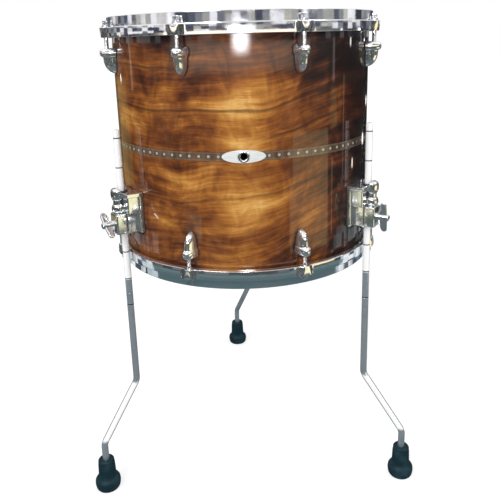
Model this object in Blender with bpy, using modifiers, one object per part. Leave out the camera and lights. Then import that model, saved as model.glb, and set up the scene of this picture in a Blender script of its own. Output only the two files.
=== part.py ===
"""Floor tom: a 16 by 14 inch drum with two tuned heads, cast hoops and three clamped legs.

Lengths are in metres and angles in degrees. +Z is up, the floor is z = 0, and the
air vent faces -Y. The origin is the middle of the whole drum's footprint.
"""

import math

import bmesh
import bpy
from mathutils import Matrix, Vector

# Shell
SHELL_DIAMETER = 0.4064
SHELL_DEPTH = 0.3556
SHELL_WALL = 0.0070
EDGE_ROUND = 0.0018
FLOOR_CLEARANCE = 0.3550

# Inlay and air vent
INLAY_WIDTH = 0.0120
INLAY_THICKNESS = 0.0012
INLAY_ABOVE_MIDDLE = 0.0005
VENT_BORE = 0.0100
VENT_WALL = 0.0012
VENT_FLANGE = 0.0022
VENT_LIP = 0.0014
PLATE_LENGTH = 0.0600
PLATE_WIDTH = 0.0180
PLATE_THICKNESS = 0.0010

# Heads
FILM_THICKNESS = 0.0005
COLLAR_DEPTH = 0.0080
RING_DROP = 0.0045
RING_WIDTH = 0.0040
RING_HEIGHT = 0.0085

# Cast hoops and their ears
HOOP_HEIGHT = 0.0295
RIM_RISE = 0.0122
RIM_HEIGHT = 0.0150
RIM_WALL = 0.0042
RIM_ROUND = 0.0009
HOOP_WEB = 0.0025
HOOP_LIP = 0.0018
EAR_REACH = 0.0073
EAR_WIDTH = 0.0270
EAR_FOOT_WIDTH = 0.0165

# Tension rods
RODS_PER_HEAD = 8
ROD_DIAMETER = 0.0060
ROD_HEAD_WIDTH = 0.0062
ROD_HEAD_HEIGHT = 0.0066
ROD_FLANGE_DIAMETER = 0.0092
ROD_FLANGE_HEIGHT = 0.0016
WASHER_DIAMETER = 0.0106
WASHER_HEIGHT = 0.0014
THREAD_IN_LUG = 0.0200

# Lugs
LUG_BELOW_HOOP = 0.0150
LUG_LENGTH = 0.0370
LUG_WIDTH = 0.0206
LUG_BEYOND_ROD = 0.0111

# Legs and feet
LEG_DIAMETER = 0.0105
LEG_TOP_HEIGHT = 0.5750
LEG_OFFSET = 0.0680
LEG_BEND_HEIGHT = 0.1640
LEG_ANKLE_HEIGHT = 0.0800
LEG_BEND_RADIUS = 0.0170
FOOT_DIAMETER = 0.0412
FOOT_TREAD_DIAMETER = 0.0310
FOOT_HEIGHT = 0.0520
FOOT_BASE_HEIGHT = 0.0165
SLEEVE_DIAMETER = 0.0280
FOOT_SOLE = 0.0160

# Leg brackets: the plate stands on the shell, the block holds the bushing, and the
# fixed jaw under the block meets the hinged jaw at the leg
BRACKET_ABOVE_EDGE = 0.0525
PLATE_DEPTH = 0.0048
BRACKET_HEIGHT = 0.0625
BRACKET_WIDTH = 0.0540
BLOCK_WIDTH = 0.0500
BLOCK_LIP = 0.0035
BLOCK_LIP_HEIGHT = 0.0040
NOSE_WIDTH = 0.0190
NOSE_REACH = 0.0165
NOSE_RISE = 0.0060
WAIST_HEIGHT = 0.0100
WAIST_DEPTH = 0.0020
CLAMP_HEIGHT = 0.0315
JAW_REACH = 0.0172
JAW_EDGE = 0.0165
PIN_OFFSET = 0.0130
PIN_DIAMETER = 0.0040
KNUCKLE_DIAMETER = 0.0090
BUSHING_WALL = 0.0016
BUSHING_FLANGE = 0.0022
BUSHING_LIP = 0.0015

# Wing bolts
BOLT_DIAMETER = 0.0060
BOLT_OFFSET = 0.0105
BOLT_HEIGHT = 0.0175
BOLT_DEPTH = 0.0120
BOLT_SLOT = 0.0012
HUB_DIAMETER = 0.0110
HUB_LENGTH = 0.0210
WING_SPAN = 0.0460
WING_ROOT = 0.0160
WING_TIP = 0.0095
WING_THICKNESS = 0.0034

# Where things stand round the drum, as angles from +X
LUG_START_ANGLE = 22.5
LEG_ANGLES = {"right": -34.0, "left": 214.0, "back": 90.0}
LEG_SWIVELS = {"right": 0.0, "left": 9.0, "back": 24.0}
BOLT_SIDES = {"right": -1, "left": 1, "back": 1}
WING_ANGLES = {"right": 8.0, "left": 52.0, "back": 25.0}

# Clearances and how finely round things are divided
SEAT_GAP = 0.0003
HEAD_PLAY = 0.0005
ROD_PLAY = 0.0004
WASHER_PLAY = 0.0004
LEG_HOOP_GAP = 0.0022
MERGE = 0.00001
DRUM_SIDES = 6 * RODS_PER_HEAD
ROUND_SIDES = 14
SMALL_SIDES = 12
THREAD_SIDES = 8
SHARP_ANGLE = 35.0

# Radii and heights that follow from the sizes above. Heights on the drum are
# measured from the middle of the shell
SHELL_R = SHELL_DIAMETER / 2
SHELL_IN_R = SHELL_R - SHELL_WALL
EDGE_Z = SHELL_DEPTH / 2
MIDDLE_HEIGHT = FLOOR_CLEARANCE + RIM_RISE + EDGE_Z
COLLAR_IN_R = SHELL_R + HEAD_PLAY
COLLAR_OUT_R = COLLAR_IN_R + FILM_THICKNESS
RING_IN_R = COLLAR_OUT_R + SEAT_GAP
RING_OUT_R = RING_IN_R + RING_WIDTH
RIM_IN_R = RING_IN_R + SEAT_GAP
RIM_OUT_R = RIM_IN_R + RIM_WALL
HOOP_IN_R = RING_OUT_R + SEAT_GAP
ROD_R = ROD_DIAMETER / 2
ROD_HOLE_R = ROD_R + ROD_PLAY
ROD_CIRCLE_R = max(HOOP_IN_R + HOOP_WEB + ROD_HOLE_R,
                   RIM_OUT_R + WASHER_PLAY + WASHER_DIAMETER / 2)
HOOP_OUT_R = ROD_CIRCLE_R + HOOP_LIP
EAR_OUT_R = ROD_CIRCLE_R + EAR_REACH
RIM_Z = EDGE_Z + RIM_RISE
STEP_Z = RIM_Z - RIM_HEIGHT
HOOP_FOOT_Z = RIM_Z - HOOP_HEIGHT
RING_TOP_Z = EDGE_Z - RING_DROP
LUG_TOP_Z = HOOP_FOOT_Z - LUG_BELOW_HOOP
LEG_R = LEG_DIAMETER / 2
LEG_AXIS_R = HOOP_OUT_R + LEG_HOOP_GAP + LEG_R
BRACKET_Z = -EDGE_Z + BRACKET_ABOVE_EDGE


def empty_scene():
    """Remove whatever the file holds."""
    for item in list(bpy.data.objects):
        bpy.data.objects.remove(item, do_unlink=True)


def new_collection(name):
    """A collection linked to the scene."""
    made = bpy.data.collections.new(name)
    bpy.context.scene.collection.children.link(made)
    return made


empty_scene()
PARTS = new_collection("floor_tom")
CUTTERS = new_collection("cutters")


def finish(name, colour, roughness, metallic):
    """A plain material for one kind of piece."""
    material = bpy.data.materials.new(name)
    material.use_nodes = True
    shader = material.node_tree.nodes["Principled BSDF"]
    shader.inputs["Base Color"].default_value = (*colour, 1.0)
    shader.inputs["Roughness"].default_value = roughness
    shader.inputs["Metallic"].default_value = metallic
    return material


LACQUERED_WOOD = finish("lacquered_wood", (0.32, 0.13, 0.05), 0.12, 0.0)
PEARL = finish("pearl", (0.80, 0.78, 0.70), 0.25, 0.0)
CHROME = finish("chrome", (0.86, 0.87, 0.88), 0.08, 1.0)
STEEL = finish("steel", (0.70, 0.71, 0.72), 0.22, 1.0)
ALUMINIUM = finish("aluminium", (0.75, 0.76, 0.77), 0.35, 1.0)
COATED_FILM = finish("coated_film", (0.88, 0.88, 0.85), 0.55, 0.0)
RUBBER = finish("rubber", (0.03, 0.035, 0.04), 0.75, 0.0)
NYLON = finish("nylon", (0.04, 0.04, 0.045), 0.45, 0.0)


def place(mesh, name):
    """An object for a mesh."""
    made = bpy.data.objects.new(name, mesh)
    PARTS.objects.link(made)
    return made


def turn_about_z(angle):
    """The turn about Z by an angle in degrees."""
    return Matrix.Rotation(math.radians(angle), 4, "Z")


def shade(mesh):
    """Smooth round faces and keep the edges between flat ones."""
    mesh.shade_smooth()
    mesh.set_sharp_from_angle(angle=math.radians(SHARP_ANGLE))


def settle(item):
    """Replace an object's modifiers, or its curve, by the mesh that they make."""
    bpy.context.view_layer.update()
    graph = bpy.context.evaluated_depsgraph_get()
    mesh = bpy.data.meshes.new_from_object(item.evaluated_get(graph))
    loose = bmesh.new()
    loose.from_mesh(mesh)
    bmesh.ops.remove_doubles(loose, verts=loose.verts, dist=MERGE)
    loose.to_mesh(mesh)
    loose.free()
    shade(mesh)
    name = item.name
    matrix = item.matrix_world.copy()
    bpy.data.objects.remove(item, do_unlink=True)
    mesh.name = name
    made = place(mesh, name)
    made.matrix_world = matrix
    return made


def turned(name, profile, sides, ring=False):
    """Turn a profile of (radius, height) points, outer side first, about Z."""
    mesh = bpy.data.meshes.new(name)
    edges = [(i, i + 1) for i in range(len(profile) - 1)]
    if ring:
        edges.append((len(profile) - 1, 0))
    mesh.from_pydata([(radius, 0.0, height) for radius, height in profile], edges, [])
    made = place(mesh, name)
    screw = made.modifiers.new("Turn", "SCREW")
    screw.axis = "Z"
    screw.steps = sides
    screw.render_steps = sides
    screw.use_merge_vertices = True
    screw.merge_threshold = MERGE
    return settle(made)


def drum_ring(name, profile, ring=True):
    """A turned piece of the drum, whose flats start at the first lug like all the others."""
    made = turned(name, profile, DRUM_SIDES, ring)
    made.data.transform(turn_about_z(LUG_START_ANGLE))
    return made


def mesh_from(name, build):
    """An object whose mesh is filled by a function of a bmesh."""
    mesh = bpy.data.meshes.new(name)
    shape = bmesh.new()
    build(shape)
    shape.to_mesh(mesh)
    shape.free()
    shade(mesh)
    return place(mesh, name)


def block(name, low, high, rounding=0.0):
    """A box between two corners, with its edges rounded off."""
    def build(shape):
        size = Vector(high) - Vector(low)
        middle = (Vector(high) + Vector(low)) / 2
        matrix = Matrix.Translation(middle) @ Matrix.Diagonal((*size, 1.0))
        bmesh.ops.create_cube(shape, size=1.0, matrix=matrix)
        if rounding:
            bmesh.ops.bevel(shape, geom=shape.edges[:], offset=rounding, segments=1,
                            affect="EDGES", profile=0.5)
    return mesh_from(name, build)


def rod(name, radius, start, end, sides, flat_up=False):
    """A round bar between two points, with a corner or a flat on its upper side."""
    def build(shape):
        span = Vector(end) - Vector(start)
        turn = span.to_track_quat("Z", "Y").to_matrix().to_4x4()
        if flat_up:
            turn = turn @ turn_about_z(180.0 / sides)
        matrix = Matrix.Translation((Vector(start) + Vector(end)) / 2) @ turn
        bmesh.ops.create_cone(shape, cap_ends=True, segments=sides, radius1=radius,
                              radius2=radius, depth=span.length, matrix=matrix)
    return mesh_from(name, build)


def combine(item, other, operation):
    """Join another solid to an object, or cut it away, and keep the other as a guide."""
    for owner in list(other.users_collection):
        owner.objects.unlink(other)
    CUTTERS.objects.link(other)
    other.hide_render = True
    other.display_type = "WIRE"
    joint = item.modifiers.new(operation.title(), "BOOLEAN")
    joint.operation = operation
    joint.solver = "EXACT"
    joint.object = other
    return item


def towards(angle):
    """The unit vector in plan at an angle in degrees from +X."""
    return Vector((math.cos(math.radians(angle)), math.sin(math.radians(angle)), 0.0))


def foot_centre(side):
    """The middle of a foot in plan, from the drum's axis."""
    angle = LEG_ANGLES[side]
    knee = LEG_AXIS_R * towards(angle)
    return knee + LEG_OFFSET * towards(angle + LEG_SWIVELS[side])


def drum_centre():
    """Where the drum's axis stands, so that the footprint's middle is the origin."""
    foot_r = FOOT_DIAMETER / 2
    feet = [foot_centre(side) for side in LEG_ANGLES]
    low_x = min([-HOOP_OUT_R] + [foot.x - foot_r for foot in feet])
    high_x = max([HOOP_OUT_R] + [foot.x + foot_r for foot in feet])
    low_y = min([-HOOP_OUT_R] + [foot.y - foot_r for foot in feet])
    high_y = max([HOOP_OUT_R] + [foot.y + foot_r for foot in feet])
    return Vector((-(low_x + high_x) / 2, -(low_y + high_y) / 2, MIDDLE_HEIGHT))


DRUM = bpy.data.objects.new("drum_axis", None)
PARTS.objects.link(DRUM)
DRUM.location = drum_centre()
bpy.context.view_layer.update()


def hold(item, parent, matrix, material=None):
    """Set an object in its parent's frame and give it its material."""
    item.parent = parent
    item.matrix_parent_inverse = Matrix.Identity(4)
    item.matrix_basis = matrix
    if material:
        item.data.materials.clear()
        item.data.materials.append(material)
    return item


# The shell is a bent plywood tube. Both ends are cut to a bearing edge, and a groove
# round its outside takes the inlay strip
def make_shell():
    edge_r = SHELL_R - EDGE_ROUND
    slope_z = EDGE_Z - (edge_r - SHELL_IN_R)
    round_z = EDGE_Z - EDGE_ROUND
    groove_r = SHELL_R - INLAY_THICKNESS - SEAT_GAP
    groove_top = INLAY_ABOVE_MIDDLE + INLAY_WIDTH / 2 + SEAT_GAP
    groove_foot = groove_top - INLAY_WIDTH - 2 * SEAT_GAP
    profile = [
        (edge_r, EDGE_Z), (SHELL_R, round_z), (SHELL_R, groove_top),
        (groove_r, groove_top), (groove_r, groove_foot), (SHELL_R, groove_foot),
        (SHELL_R, -round_z), (edge_r, -EDGE_Z), (SHELL_IN_R, -slope_z),
        (SHELL_IN_R, slope_z)]
    shell = drum_ring("shell", profile)
    hold(shell, DRUM, Matrix.Identity(4), LACQUERED_WOOD)
    return combine(shell, vent_drill("shell_vent_hole"), "DIFFERENCE")


def vent_drill(name):
    """The cutter of the hole that the vent's tube passes through."""
    radius = VENT_BORE / 2 + VENT_WALL + SEAT_GAP
    height = INLAY_ABOVE_MIDDLE
    start = (0.0, -SHELL_R - SHELL_WALL, height)
    end = (0.0, -SHELL_IN_R + SHELL_WALL, height)
    drill = rod(name, radius, start, end, ROUND_SIDES, flat_up=True)
    return hold(drill, DRUM, Matrix.Identity(4))


def make_inlay():
    """The strip let into the groove, flush with the shell."""
    top = INLAY_ABOVE_MIDDLE + INLAY_WIDTH / 2
    foot = top - INLAY_WIDTH
    inside = SHELL_R - INLAY_THICKNESS
    profile = [(SHELL_R, top), (SHELL_R, foot), (inside, foot), (inside, top)]
    inlay = drum_ring("inlay_band", profile)
    hold(inlay, DRUM, Matrix.Identity(4), PEARL)
    return combine(inlay, vent_drill("inlay_vent_hole"), "DIFFERENCE")


# The air vent is a flanged tube that clamps a plain oval plate to the shell
def make_vent():
    radius = VENT_BORE / 2
    tube_r = radius + VENT_WALL
    flange_r = tube_r + VENT_FLANGE
    face = SHELL_R + 2 * SEAT_GAP + PLATE_THICKNESS
    lip_face = face + VENT_LIP
    back = SHELL_IN_R - SEAT_GAP
    profile = [
        (radius, lip_face), (flange_r - VENT_LIP, lip_face), (flange_r, face),
        (tube_r, face), (tube_r, back), (tube_r + VENT_LIP, back - VENT_LIP),
        (radius, back - VENT_LIP)]
    vent = turned("air_vent", profile, SMALL_SIDES, ring=True)
    facing = Matrix.Translation((0.0, 0.0, INLAY_ABOVE_MIDDLE)) @ Matrix.Rotation(
        math.radians(90.0), 4, "X")
    return hold(vent, DRUM, facing, CHROME)


def make_vent_plate():
    """The plain oval plate, bent to the curve of the shell."""
    inside = SHELL_R + SEAT_GAP
    outside = inside + PLATE_THICKNESS
    tall = PLATE_WIDTH
    profile = [(outside, tall), (outside, -tall), (inside, -tall), (inside, tall)]
    plate = drum_ring("vent_plate", profile)
    hold(plate, DRUM, Matrix.Translation((0.0, 0.0, INLAY_ABOVE_MIDDLE)), CHROME)
    deep = SHELL_WALL
    oval = rod("vent_plate_outline", 0.5, (0.0, 0.0, -0.5), (0.0, 0.0, 0.5), DRUM_SIDES // 2,
               flat_up=True)
    stretch = Matrix.Diagonal((PLATE_LENGTH, PLATE_WIDTH, 2 * deep, 1.0))
    facing = Matrix.Translation((0.0, -SHELL_R, INLAY_ABOVE_MIDDLE)) @ Matrix.Rotation(
        math.radians(90.0), 4, "X")
    oval.data.transform(stretch)
    hold(oval, DRUM, facing)
    combine(plate, oval, "INTERSECT")
    return combine(plate, vent_drill("plate_vent_hole"), "DIFFERENCE")


# A head is a plastic film whose collar is held in a metal ring. The batter head is on
# top, and the resonant head is the same turned over
UPRIGHT = Matrix.Identity(4)
TURNED_OVER = (turn_about_z(LUG_START_ANGLE) @ Matrix.Rotation(math.pi, 4, "X")
               @ turn_about_z(-LUG_START_ANGLE))


def make_heads():
    film_r = SHELL_R - EDGE_ROUND
    under = EDGE_Z + SEAT_GAP
    over = under + FILM_THICKNESS
    bend = EDGE_Z - EDGE_ROUND
    collar = EDGE_Z - COLLAR_DEPTH
    profile = [
        (0.0, over), (film_r, over), (COLLAR_OUT_R, bend), (COLLAR_OUT_R, collar),
        (COLLAR_IN_R, collar), (COLLAR_IN_R, bend), (film_r, under), (0.0, under)]
    film = drum_ring("batter_film", profile, False)
    hold(film, DRUM, UPRIGHT, COATED_FILM)
    lower = place(film.data, "resonant_film")
    hold(lower, DRUM, TURNED_OVER)
    foot = RING_TOP_Z - RING_HEIGHT
    profile = [(RING_OUT_R, RING_TOP_Z), (RING_OUT_R, foot), (RING_IN_R, foot), (RING_IN_R, RING_TOP_Z)]
    ring = drum_ring("batter_flesh_hoop", profile)
    hold(ring, DRUM, UPRIGHT, ALUMINIUM)
    lower = place(ring.data, "resonant_flesh_hoop")
    hold(lower, DRUM, TURNED_OVER)


# A cast hoop presses on the ring with a shoulder. Its upper tier is the rim, and its
# wider lower tier carries one ear for each rod
def lug_angles():
    """The angles at which ears, rods and lugs stand round the drum."""
    return [LUG_START_ANGLE + i * 360.0 / RODS_PER_HEAD for i in range(RODS_PER_HEAD)]


def ear(shape, angle):
    """One ear: a block that narrows downwards, set in the hoop's lower tier."""
    inside = (HOOP_IN_R + ROD_CIRCLE_R - ROD_HOLE_R) / 2
    size = (EAR_OUT_R - inside, EAR_WIDTH, STEP_Z - HOOP_FOOT_Z)
    middle = ((EAR_OUT_R + inside) / 2, 0.0, (STEP_Z + HOOP_FOOT_Z) / 2)
    matrix = Matrix.Translation(middle) @ Matrix.Diagonal((*size, 1.0))
    made = bmesh.ops.create_cube(shape, size=1.0, matrix=matrix)
    low = [vert for vert in made["verts"] if vert.co.z < middle[2]]
    bmesh.ops.scale(shape, vec=(1.0, EAR_FOOT_WIDTH / EAR_WIDTH, 1.0), verts=low)
    outer = [edge for edge in shape.edges if edge.is_valid and all(
        vert in made["verts"] and vert.co.x > middle[0] for vert in edge.verts)]
    upright = [edge for edge in outer if abs(edge.verts[0].co.z - edge.verts[1].co.z) > MERGE]
    before = set(shape.verts) - set(made["verts"])
    bmesh.ops.bevel(shape, geom=upright, offset=EAR_REACH / 2, segments=2, affect="EDGES",
                    profile=0.5)
    fresh = [vert for vert in shape.verts if vert not in before]
    bmesh.ops.transform(shape, matrix=turn_about_z(angle), verts=fresh)


def make_hoops():
    seat = RING_TOP_Z + SEAT_GAP
    profile = [
        (RIM_IN_R, RIM_Z), (RIM_OUT_R - RIM_ROUND, RIM_Z), (RIM_OUT_R, RIM_Z - RIM_ROUND),
        (RIM_OUT_R, STEP_Z), (HOOP_OUT_R, STEP_Z), (HOOP_OUT_R, HOOP_FOOT_Z),
        (HOOP_IN_R, HOOP_FOOT_Z), (HOOP_IN_R, seat), (RIM_IN_R, seat)]
    hoop = drum_ring("batter_hoop", profile)

    def all_ears(shape):
        for angle in lug_angles():
            ear(shape, angle)

    def all_bores(shape):
        for angle in lug_angles():
            centre = ROD_CIRCLE_R * towards(angle)
            centre.z = (STEP_Z + HOOP_FOOT_Z) / 2
            bmesh.ops.create_cone(shape, cap_ends=True, segments=THREAD_SIDES, radius1=ROD_HOLE_R,
                                  radius2=ROD_HOLE_R, depth=2 * (STEP_Z - HOOP_FOOT_Z),
                                  matrix=Matrix.Translation(centre))

    combine(hoop, mesh_from("hoop_ears", all_ears), "UNION")
    combine(hoop, mesh_from("hoop_rod_bores", all_bores), "DIFFERENCE")
    hoop = settle(hoop)
    hold(hoop, DRUM, UPRIGHT, CHROME)
    lower = place(hoop.data, "resonant_hoop")
    hold(lower, DRUM, TURNED_OVER)


# A tension rod has a square head and a flange over a washer, and its origin is on its
# axis at the top of the ear
def make_rod_mesh():
    washer_top = SEAT_GAP + WASHER_HEIGHT
    flange_top = washer_top + ROD_FLANGE_HEIGHT
    tip = STEP_Z - LUG_TOP_Z + THREAD_IN_LUG
    profile = [
        (0.0, flange_top), (ROD_FLANGE_DIAMETER / 2, flange_top),
        (ROD_FLANGE_DIAMETER / 2, washer_top), (WASHER_DIAMETER / 2, washer_top),
        (WASHER_DIAMETER / 2, SEAT_GAP), (ROD_R, SEAT_GAP), (ROD_R, -tip), (0.0, -tip)]
    shaft = turned("tension_rod", profile, THREAD_SIDES)
    half = ROD_HEAD_WIDTH / 2
    head = block("rod_head", (-half, -half, washer_top), (half, half, flange_top + ROD_HEAD_HEIGHT))
    return settle(combine(shaft, head, "UNION"))


def shell_cutter(name, angle):
    """The shell's own outside, a gap larger, in the frame of a piece at an angle round it."""
    radius = SHELL_R + SEAT_GAP
    cutter = drum_ring(name, [(0.0, EDGE_Z), (radius, EDGE_Z), (radius, -EDGE_Z), (0.0, -EDGE_Z)], False)
    cutter.data.transform(turn_about_z(-angle))
    return cutter


# A lug is a half teardrop against the shell. Its broad end faces the hoop and takes the
# rod, and its origin is on the rod's axis at the broad end
def make_lug_mesh():
    reach = ROD_CIRCLE_R - SHELL_R + LUG_BEYOND_ROD
    outline = [
        (0.00, 0.00), (0.92, 0.00), (1.00, 0.28), (0.80, 0.36), (0.68, 0.70), (0.30, 1.00),
        (0.00, 1.00)]
    profile = [(share * reach, -depth * LUG_LENGTH) for share, depth in outline]
    lug = turned("lug", profile, SMALL_SIDES)
    squeeze = Matrix.Diagonal((1.0, LUG_WIDTH / 2 / reach, 1.0, 1.0))
    lug.data.transform(Matrix.Translation((SHELL_R - ROD_CIRCLE_R, 0.0, 0.0)) @ squeeze)
    cutter = shell_cutter("lug_seat", LUG_START_ANGLE)
    cutter.data.transform(Matrix.Translation((-ROD_CIRCLE_R, 0.0, 0.0)))
    combine(lug, cutter, "DIFFERENCE")
    depth = THREAD_IN_LUG + SEAT_GAP
    bore = rod("lug_bore", ROD_HOLE_R, (0.0, 0.0, -depth), (0.0, 0.0, depth), THREAD_SIDES)
    return settle(combine(lug, bore, "DIFFERENCE"))


def make_tuning():
    """The lugs and tension rods of both heads."""
    rod_master = make_rod_mesh()
    lug_master = make_lug_mesh()
    for head, side in (("batter", UPRIGHT), ("resonant", TURNED_OVER)):
        for number, angle in enumerate(lug_angles(), start=1):
            spot = side @ turn_about_z(angle)
            across = Matrix.Translation((ROD_CIRCLE_R, 0.0, 0.0))
            tension_rod = place(rod_master.data, f"rod_{head}_{number}")
            hold(tension_rod, DRUM, spot @ across @ Matrix.Translation((0.0, 0.0, STEP_Z)), STEEL)
            lug = place(lug_master.data, f"lug_{head}_{number}")
            hold(lug, DRUM, spot @ across @ Matrix.Translation((0.0, 0.0, LUG_TOP_Z)), CHROME)
    bpy.data.objects.remove(rod_master, do_unlink=True)
    bpy.data.objects.remove(lug_master, do_unlink=True)


# The bracket's frame has its origin on the leg's axis at the bracket's foot, with +X
# pointing away from the drum. The bolt side is where the wing bolt passes the leg
CLAMP_TOP = CLAMP_HEIGHT
BLOCK_FACE = LEG_R * 0.3
SHELL_X = SHELL_R - LEG_AXIS_R
BUSHING_IN_R = LEG_R + SEAT_GAP
BUSHING_OUT_R = BUSHING_IN_R + BUSHING_WALL
BUSHING_BORE_R = BUSHING_OUT_R + SEAT_GAP
BUSHING_FLANGE_R = BUSHING_OUT_R + BUSHING_FLANGE
GRIP_R = LEG_R + SEAT_GAP


def make_bracket(side, frame, bolt_side):
    """The casting that stands on the shell, holds the bushing and carries the jaw."""
    half = BRACKET_WIDTH / 2
    deep = SHELL_R - math.sqrt(SHELL_R ** 2 - half ** 2) + SEAT_GAP
    plate_face = SHELL_X + PLATE_DEPTH
    inside = SHELL_X - deep
    bracket = block(f"bracket_{side}", (inside, -half, 0.0), (plate_face, half, BRACKET_HEIGHT), 0.0012)
    wide = BLOCK_WIDTH / 2
    lip_z = BRACKET_HEIGHT - BLOCK_LIP_HEIGHT
    body = block(f"bracket_{side}_block", (inside, -wide, CLAMP_TOP), (BLOCK_FACE, wide, lip_z), 0.0015)
    combine(bracket, body, "UNION")
    lip = block(f"bracket_{side}_lip", (inside, -wide - BLOCK_LIP, lip_z - BLOCK_LIP_HEIGHT / 2),
                (BLOCK_FACE + BLOCK_LIP / 2, wide + BLOCK_LIP, BRACKET_HEIGHT + MERGE))
    combine(bracket, lip, "UNION")
    nose_x = NOSE_REACH - NOSE_WIDTH / 2
    nose_top = BRACKET_HEIGHT + NOSE_RISE
    nose_r = NOSE_WIDTH / 2
    shoulder = nose_top - NOSE_RISE / 2
    nose = turned(f"bracket_{side}_nose", [
        (0.0, nose_top), (nose_r * 0.62, nose_top), (nose_r, shoulder), (nose_r, CLAMP_TOP),
        (0.0, CLAMP_TOP)], ROUND_SIDES)
    nose.data.transform(Matrix.Translation((nose_x, 0.0, 0.0)))
    combine(bracket, nose, "UNION")
    waist_z = (BRACKET_HEIGHT + CLAMP_TOP) / 2
    waist_in = NOSE_REACH - WAIST_DEPTH
    waist_low = waist_z - WAIST_HEIGHT / 2
    waist = block(f"bracket_{side}_waist", (waist_in, -NOSE_WIDTH, waist_low),
                  (waist_in + NOSE_WIDTH, NOSE_WIDTH, waist_low + WAIST_HEIGHT))
    combine(bracket, waist, "DIFFERENCE")
    jaw_x = plate_face - PLATE_DEPTH / 2
    jaw_top = CLAMP_TOP + PLATE_DEPTH
    edge = sorted((bolt_side * JAW_EDGE, -bolt_side * (PIN_OFFSET - KNUCKLE_DIAMETER / 2)))
    jaw = block(f"bracket_{side}_fixed_jaw", (jaw_x, edge[0], MERGE), (-SEAT_GAP, edge[1], jaw_top))
    combine(bracket, jaw, "UNION")
    add_fixed_knuckles(bracket, side, bolt_side, jaw_x)
    bolt_y = bolt_side * BOLT_OFFSET
    slot_r = BOLT_DIAMETER / 2 + BOLT_SLOT
    blind = -BOLT_DEPTH - SEAT_GAP
    above = nose_top + NOSE_RISE
    drills = [
        ("flange_seat", BUSHING_FLANGE_R + SEAT_GAP, (0.0, 0.0, BRACKET_HEIGHT), (0.0, 0.0, above)),
        ("leg_bore", BUSHING_BORE_R, (0.0, 0.0, CLAMP_TOP - MERGE), (0.0, 0.0, above)),
        ("grip", GRIP_R, (0.0, 0.0, -CLAMP_TOP), (0.0, 0.0, jaw_top)),
        ("bolt_hole", slot_r, (blind, bolt_y, BOLT_HEIGHT), (BOLT_DEPTH, bolt_y, BOLT_HEIGHT))]
    for purpose, radius, start, end in drills:
        drill = rod(f"bracket_{side}_{purpose}", radius, start, end, SMALL_SIDES)
        combine(bracket, drill, "DIFFERENCE")
    seat = shell_cutter(f"bracket_{side}_seat", LEG_ANGLES[side])
    seat.data.transform(Matrix.Translation((-LEG_AXIS_R, 0.0, -BRACKET_Z)))
    combine(bracket, seat, "DIFFERENCE")
    return hold(settle(bracket), frame, Matrix.Identity(4), CHROME)


def add_fixed_knuckles(bracket, side, bolt_side, jaw_x):
    """The fixed jaw's two knuckles and the pin that stands in them."""
    pin_y = -bolt_side * PIN_OFFSET
    third = CLAMP_HEIGHT / 3
    knuckle_r = KNUCKLE_DIAMETER / 2
    web = sorted((pin_y - bolt_side * knuckle_r * 0.9, pin_y + bolt_side * knuckle_r))
    spans = (("lower", 0.0, third), ("upper", 2 * third, CLAMP_TOP + PLATE_DEPTH))
    for name, low, high in spans:
        knuckle = rod(f"bracket_{side}_{name}_knuckle", knuckle_r, (0.0, pin_y, low),
                      (0.0, pin_y, high), SMALL_SIDES)
        combine(bracket, knuckle, "UNION")
        rib = block(f"bracket_{side}_{name}_rib", (jaw_x, web[0], low + MERGE),
                    (-SEAT_GAP, web[1], high - MERGE))
        combine(bracket, rib, "UNION")
    pin = rod(f"bracket_{side}_pin", PIN_DIAMETER / 2, (0.0, pin_y, third / 2),
              (0.0, pin_y, CLAMP_TOP), THREAD_SIDES)
    combine(bracket, pin, "UNION")


def make_jaw(side, frame, bolt_side):
    """The hinged outer jaw, whose origin is on its hinge pin."""
    third = CLAMP_HEIGHT / 3
    top = CLAMP_TOP - SEAT_GAP
    knuckle_r = KNUCKLE_DIAMETER / 2
    near = bolt_side * JAW_EDGE
    far = -bolt_side * (PIN_OFFSET - knuckle_r - SEAT_GAP)
    edge = sorted((near, far))
    jaw = block(f"clamp_jaw_{side}", (SEAT_GAP, edge[0], 0.0), (JAW_REACH, edge[1], top), 0.0012)
    pin_y = -bolt_side * PIN_OFFSET
    low = third + SEAT_GAP
    high = 2 * third - SEAT_GAP
    knuckle = rod(f"jaw_{side}_knuckle", knuckle_r, (0.0, pin_y, low), (0.0, pin_y, high),
                  SMALL_SIDES)
    combine(jaw, knuckle, "UNION")
    web = sorted((pin_y, far + bolt_side * knuckle_r / 2))
    rib = block(f"jaw_{side}_rib", (knuckle_r * 0.25, web[0], low + MERGE),
                (knuckle_r, web[1], high - MERGE))
    combine(jaw, rib, "UNION")
    bolt_y = bolt_side * BOLT_OFFSET
    bolt_r = BOLT_DIAMETER / 2 + SEAT_GAP
    through = 2 * JAW_REACH
    drills = [
        ("pin_bore", PIN_DIAMETER / 2 + SEAT_GAP, (0.0, pin_y, 0.0), (0.0, pin_y, top)),
        ("grip", GRIP_R, (0.0, 0.0, -top), (0.0, 0.0, 2 * top)),
        ("bolt_hole", bolt_r, (-through, bolt_y, BOLT_HEIGHT), (through, bolt_y, BOLT_HEIGHT))]
    for purpose, radius, start, end in drills:
        drill = rod(f"jaw_{side}_{purpose}", radius, start, end, SMALL_SIDES)
        combine(jaw, drill, "DIFFERENCE")
    jaw = settle(jaw)
    jaw.data.transform(Matrix.Translation((0.0, -pin_y, 0.0)))
    return hold(jaw, frame, Matrix.Translation((0.0, pin_y, 0.0)), CHROME)


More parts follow.
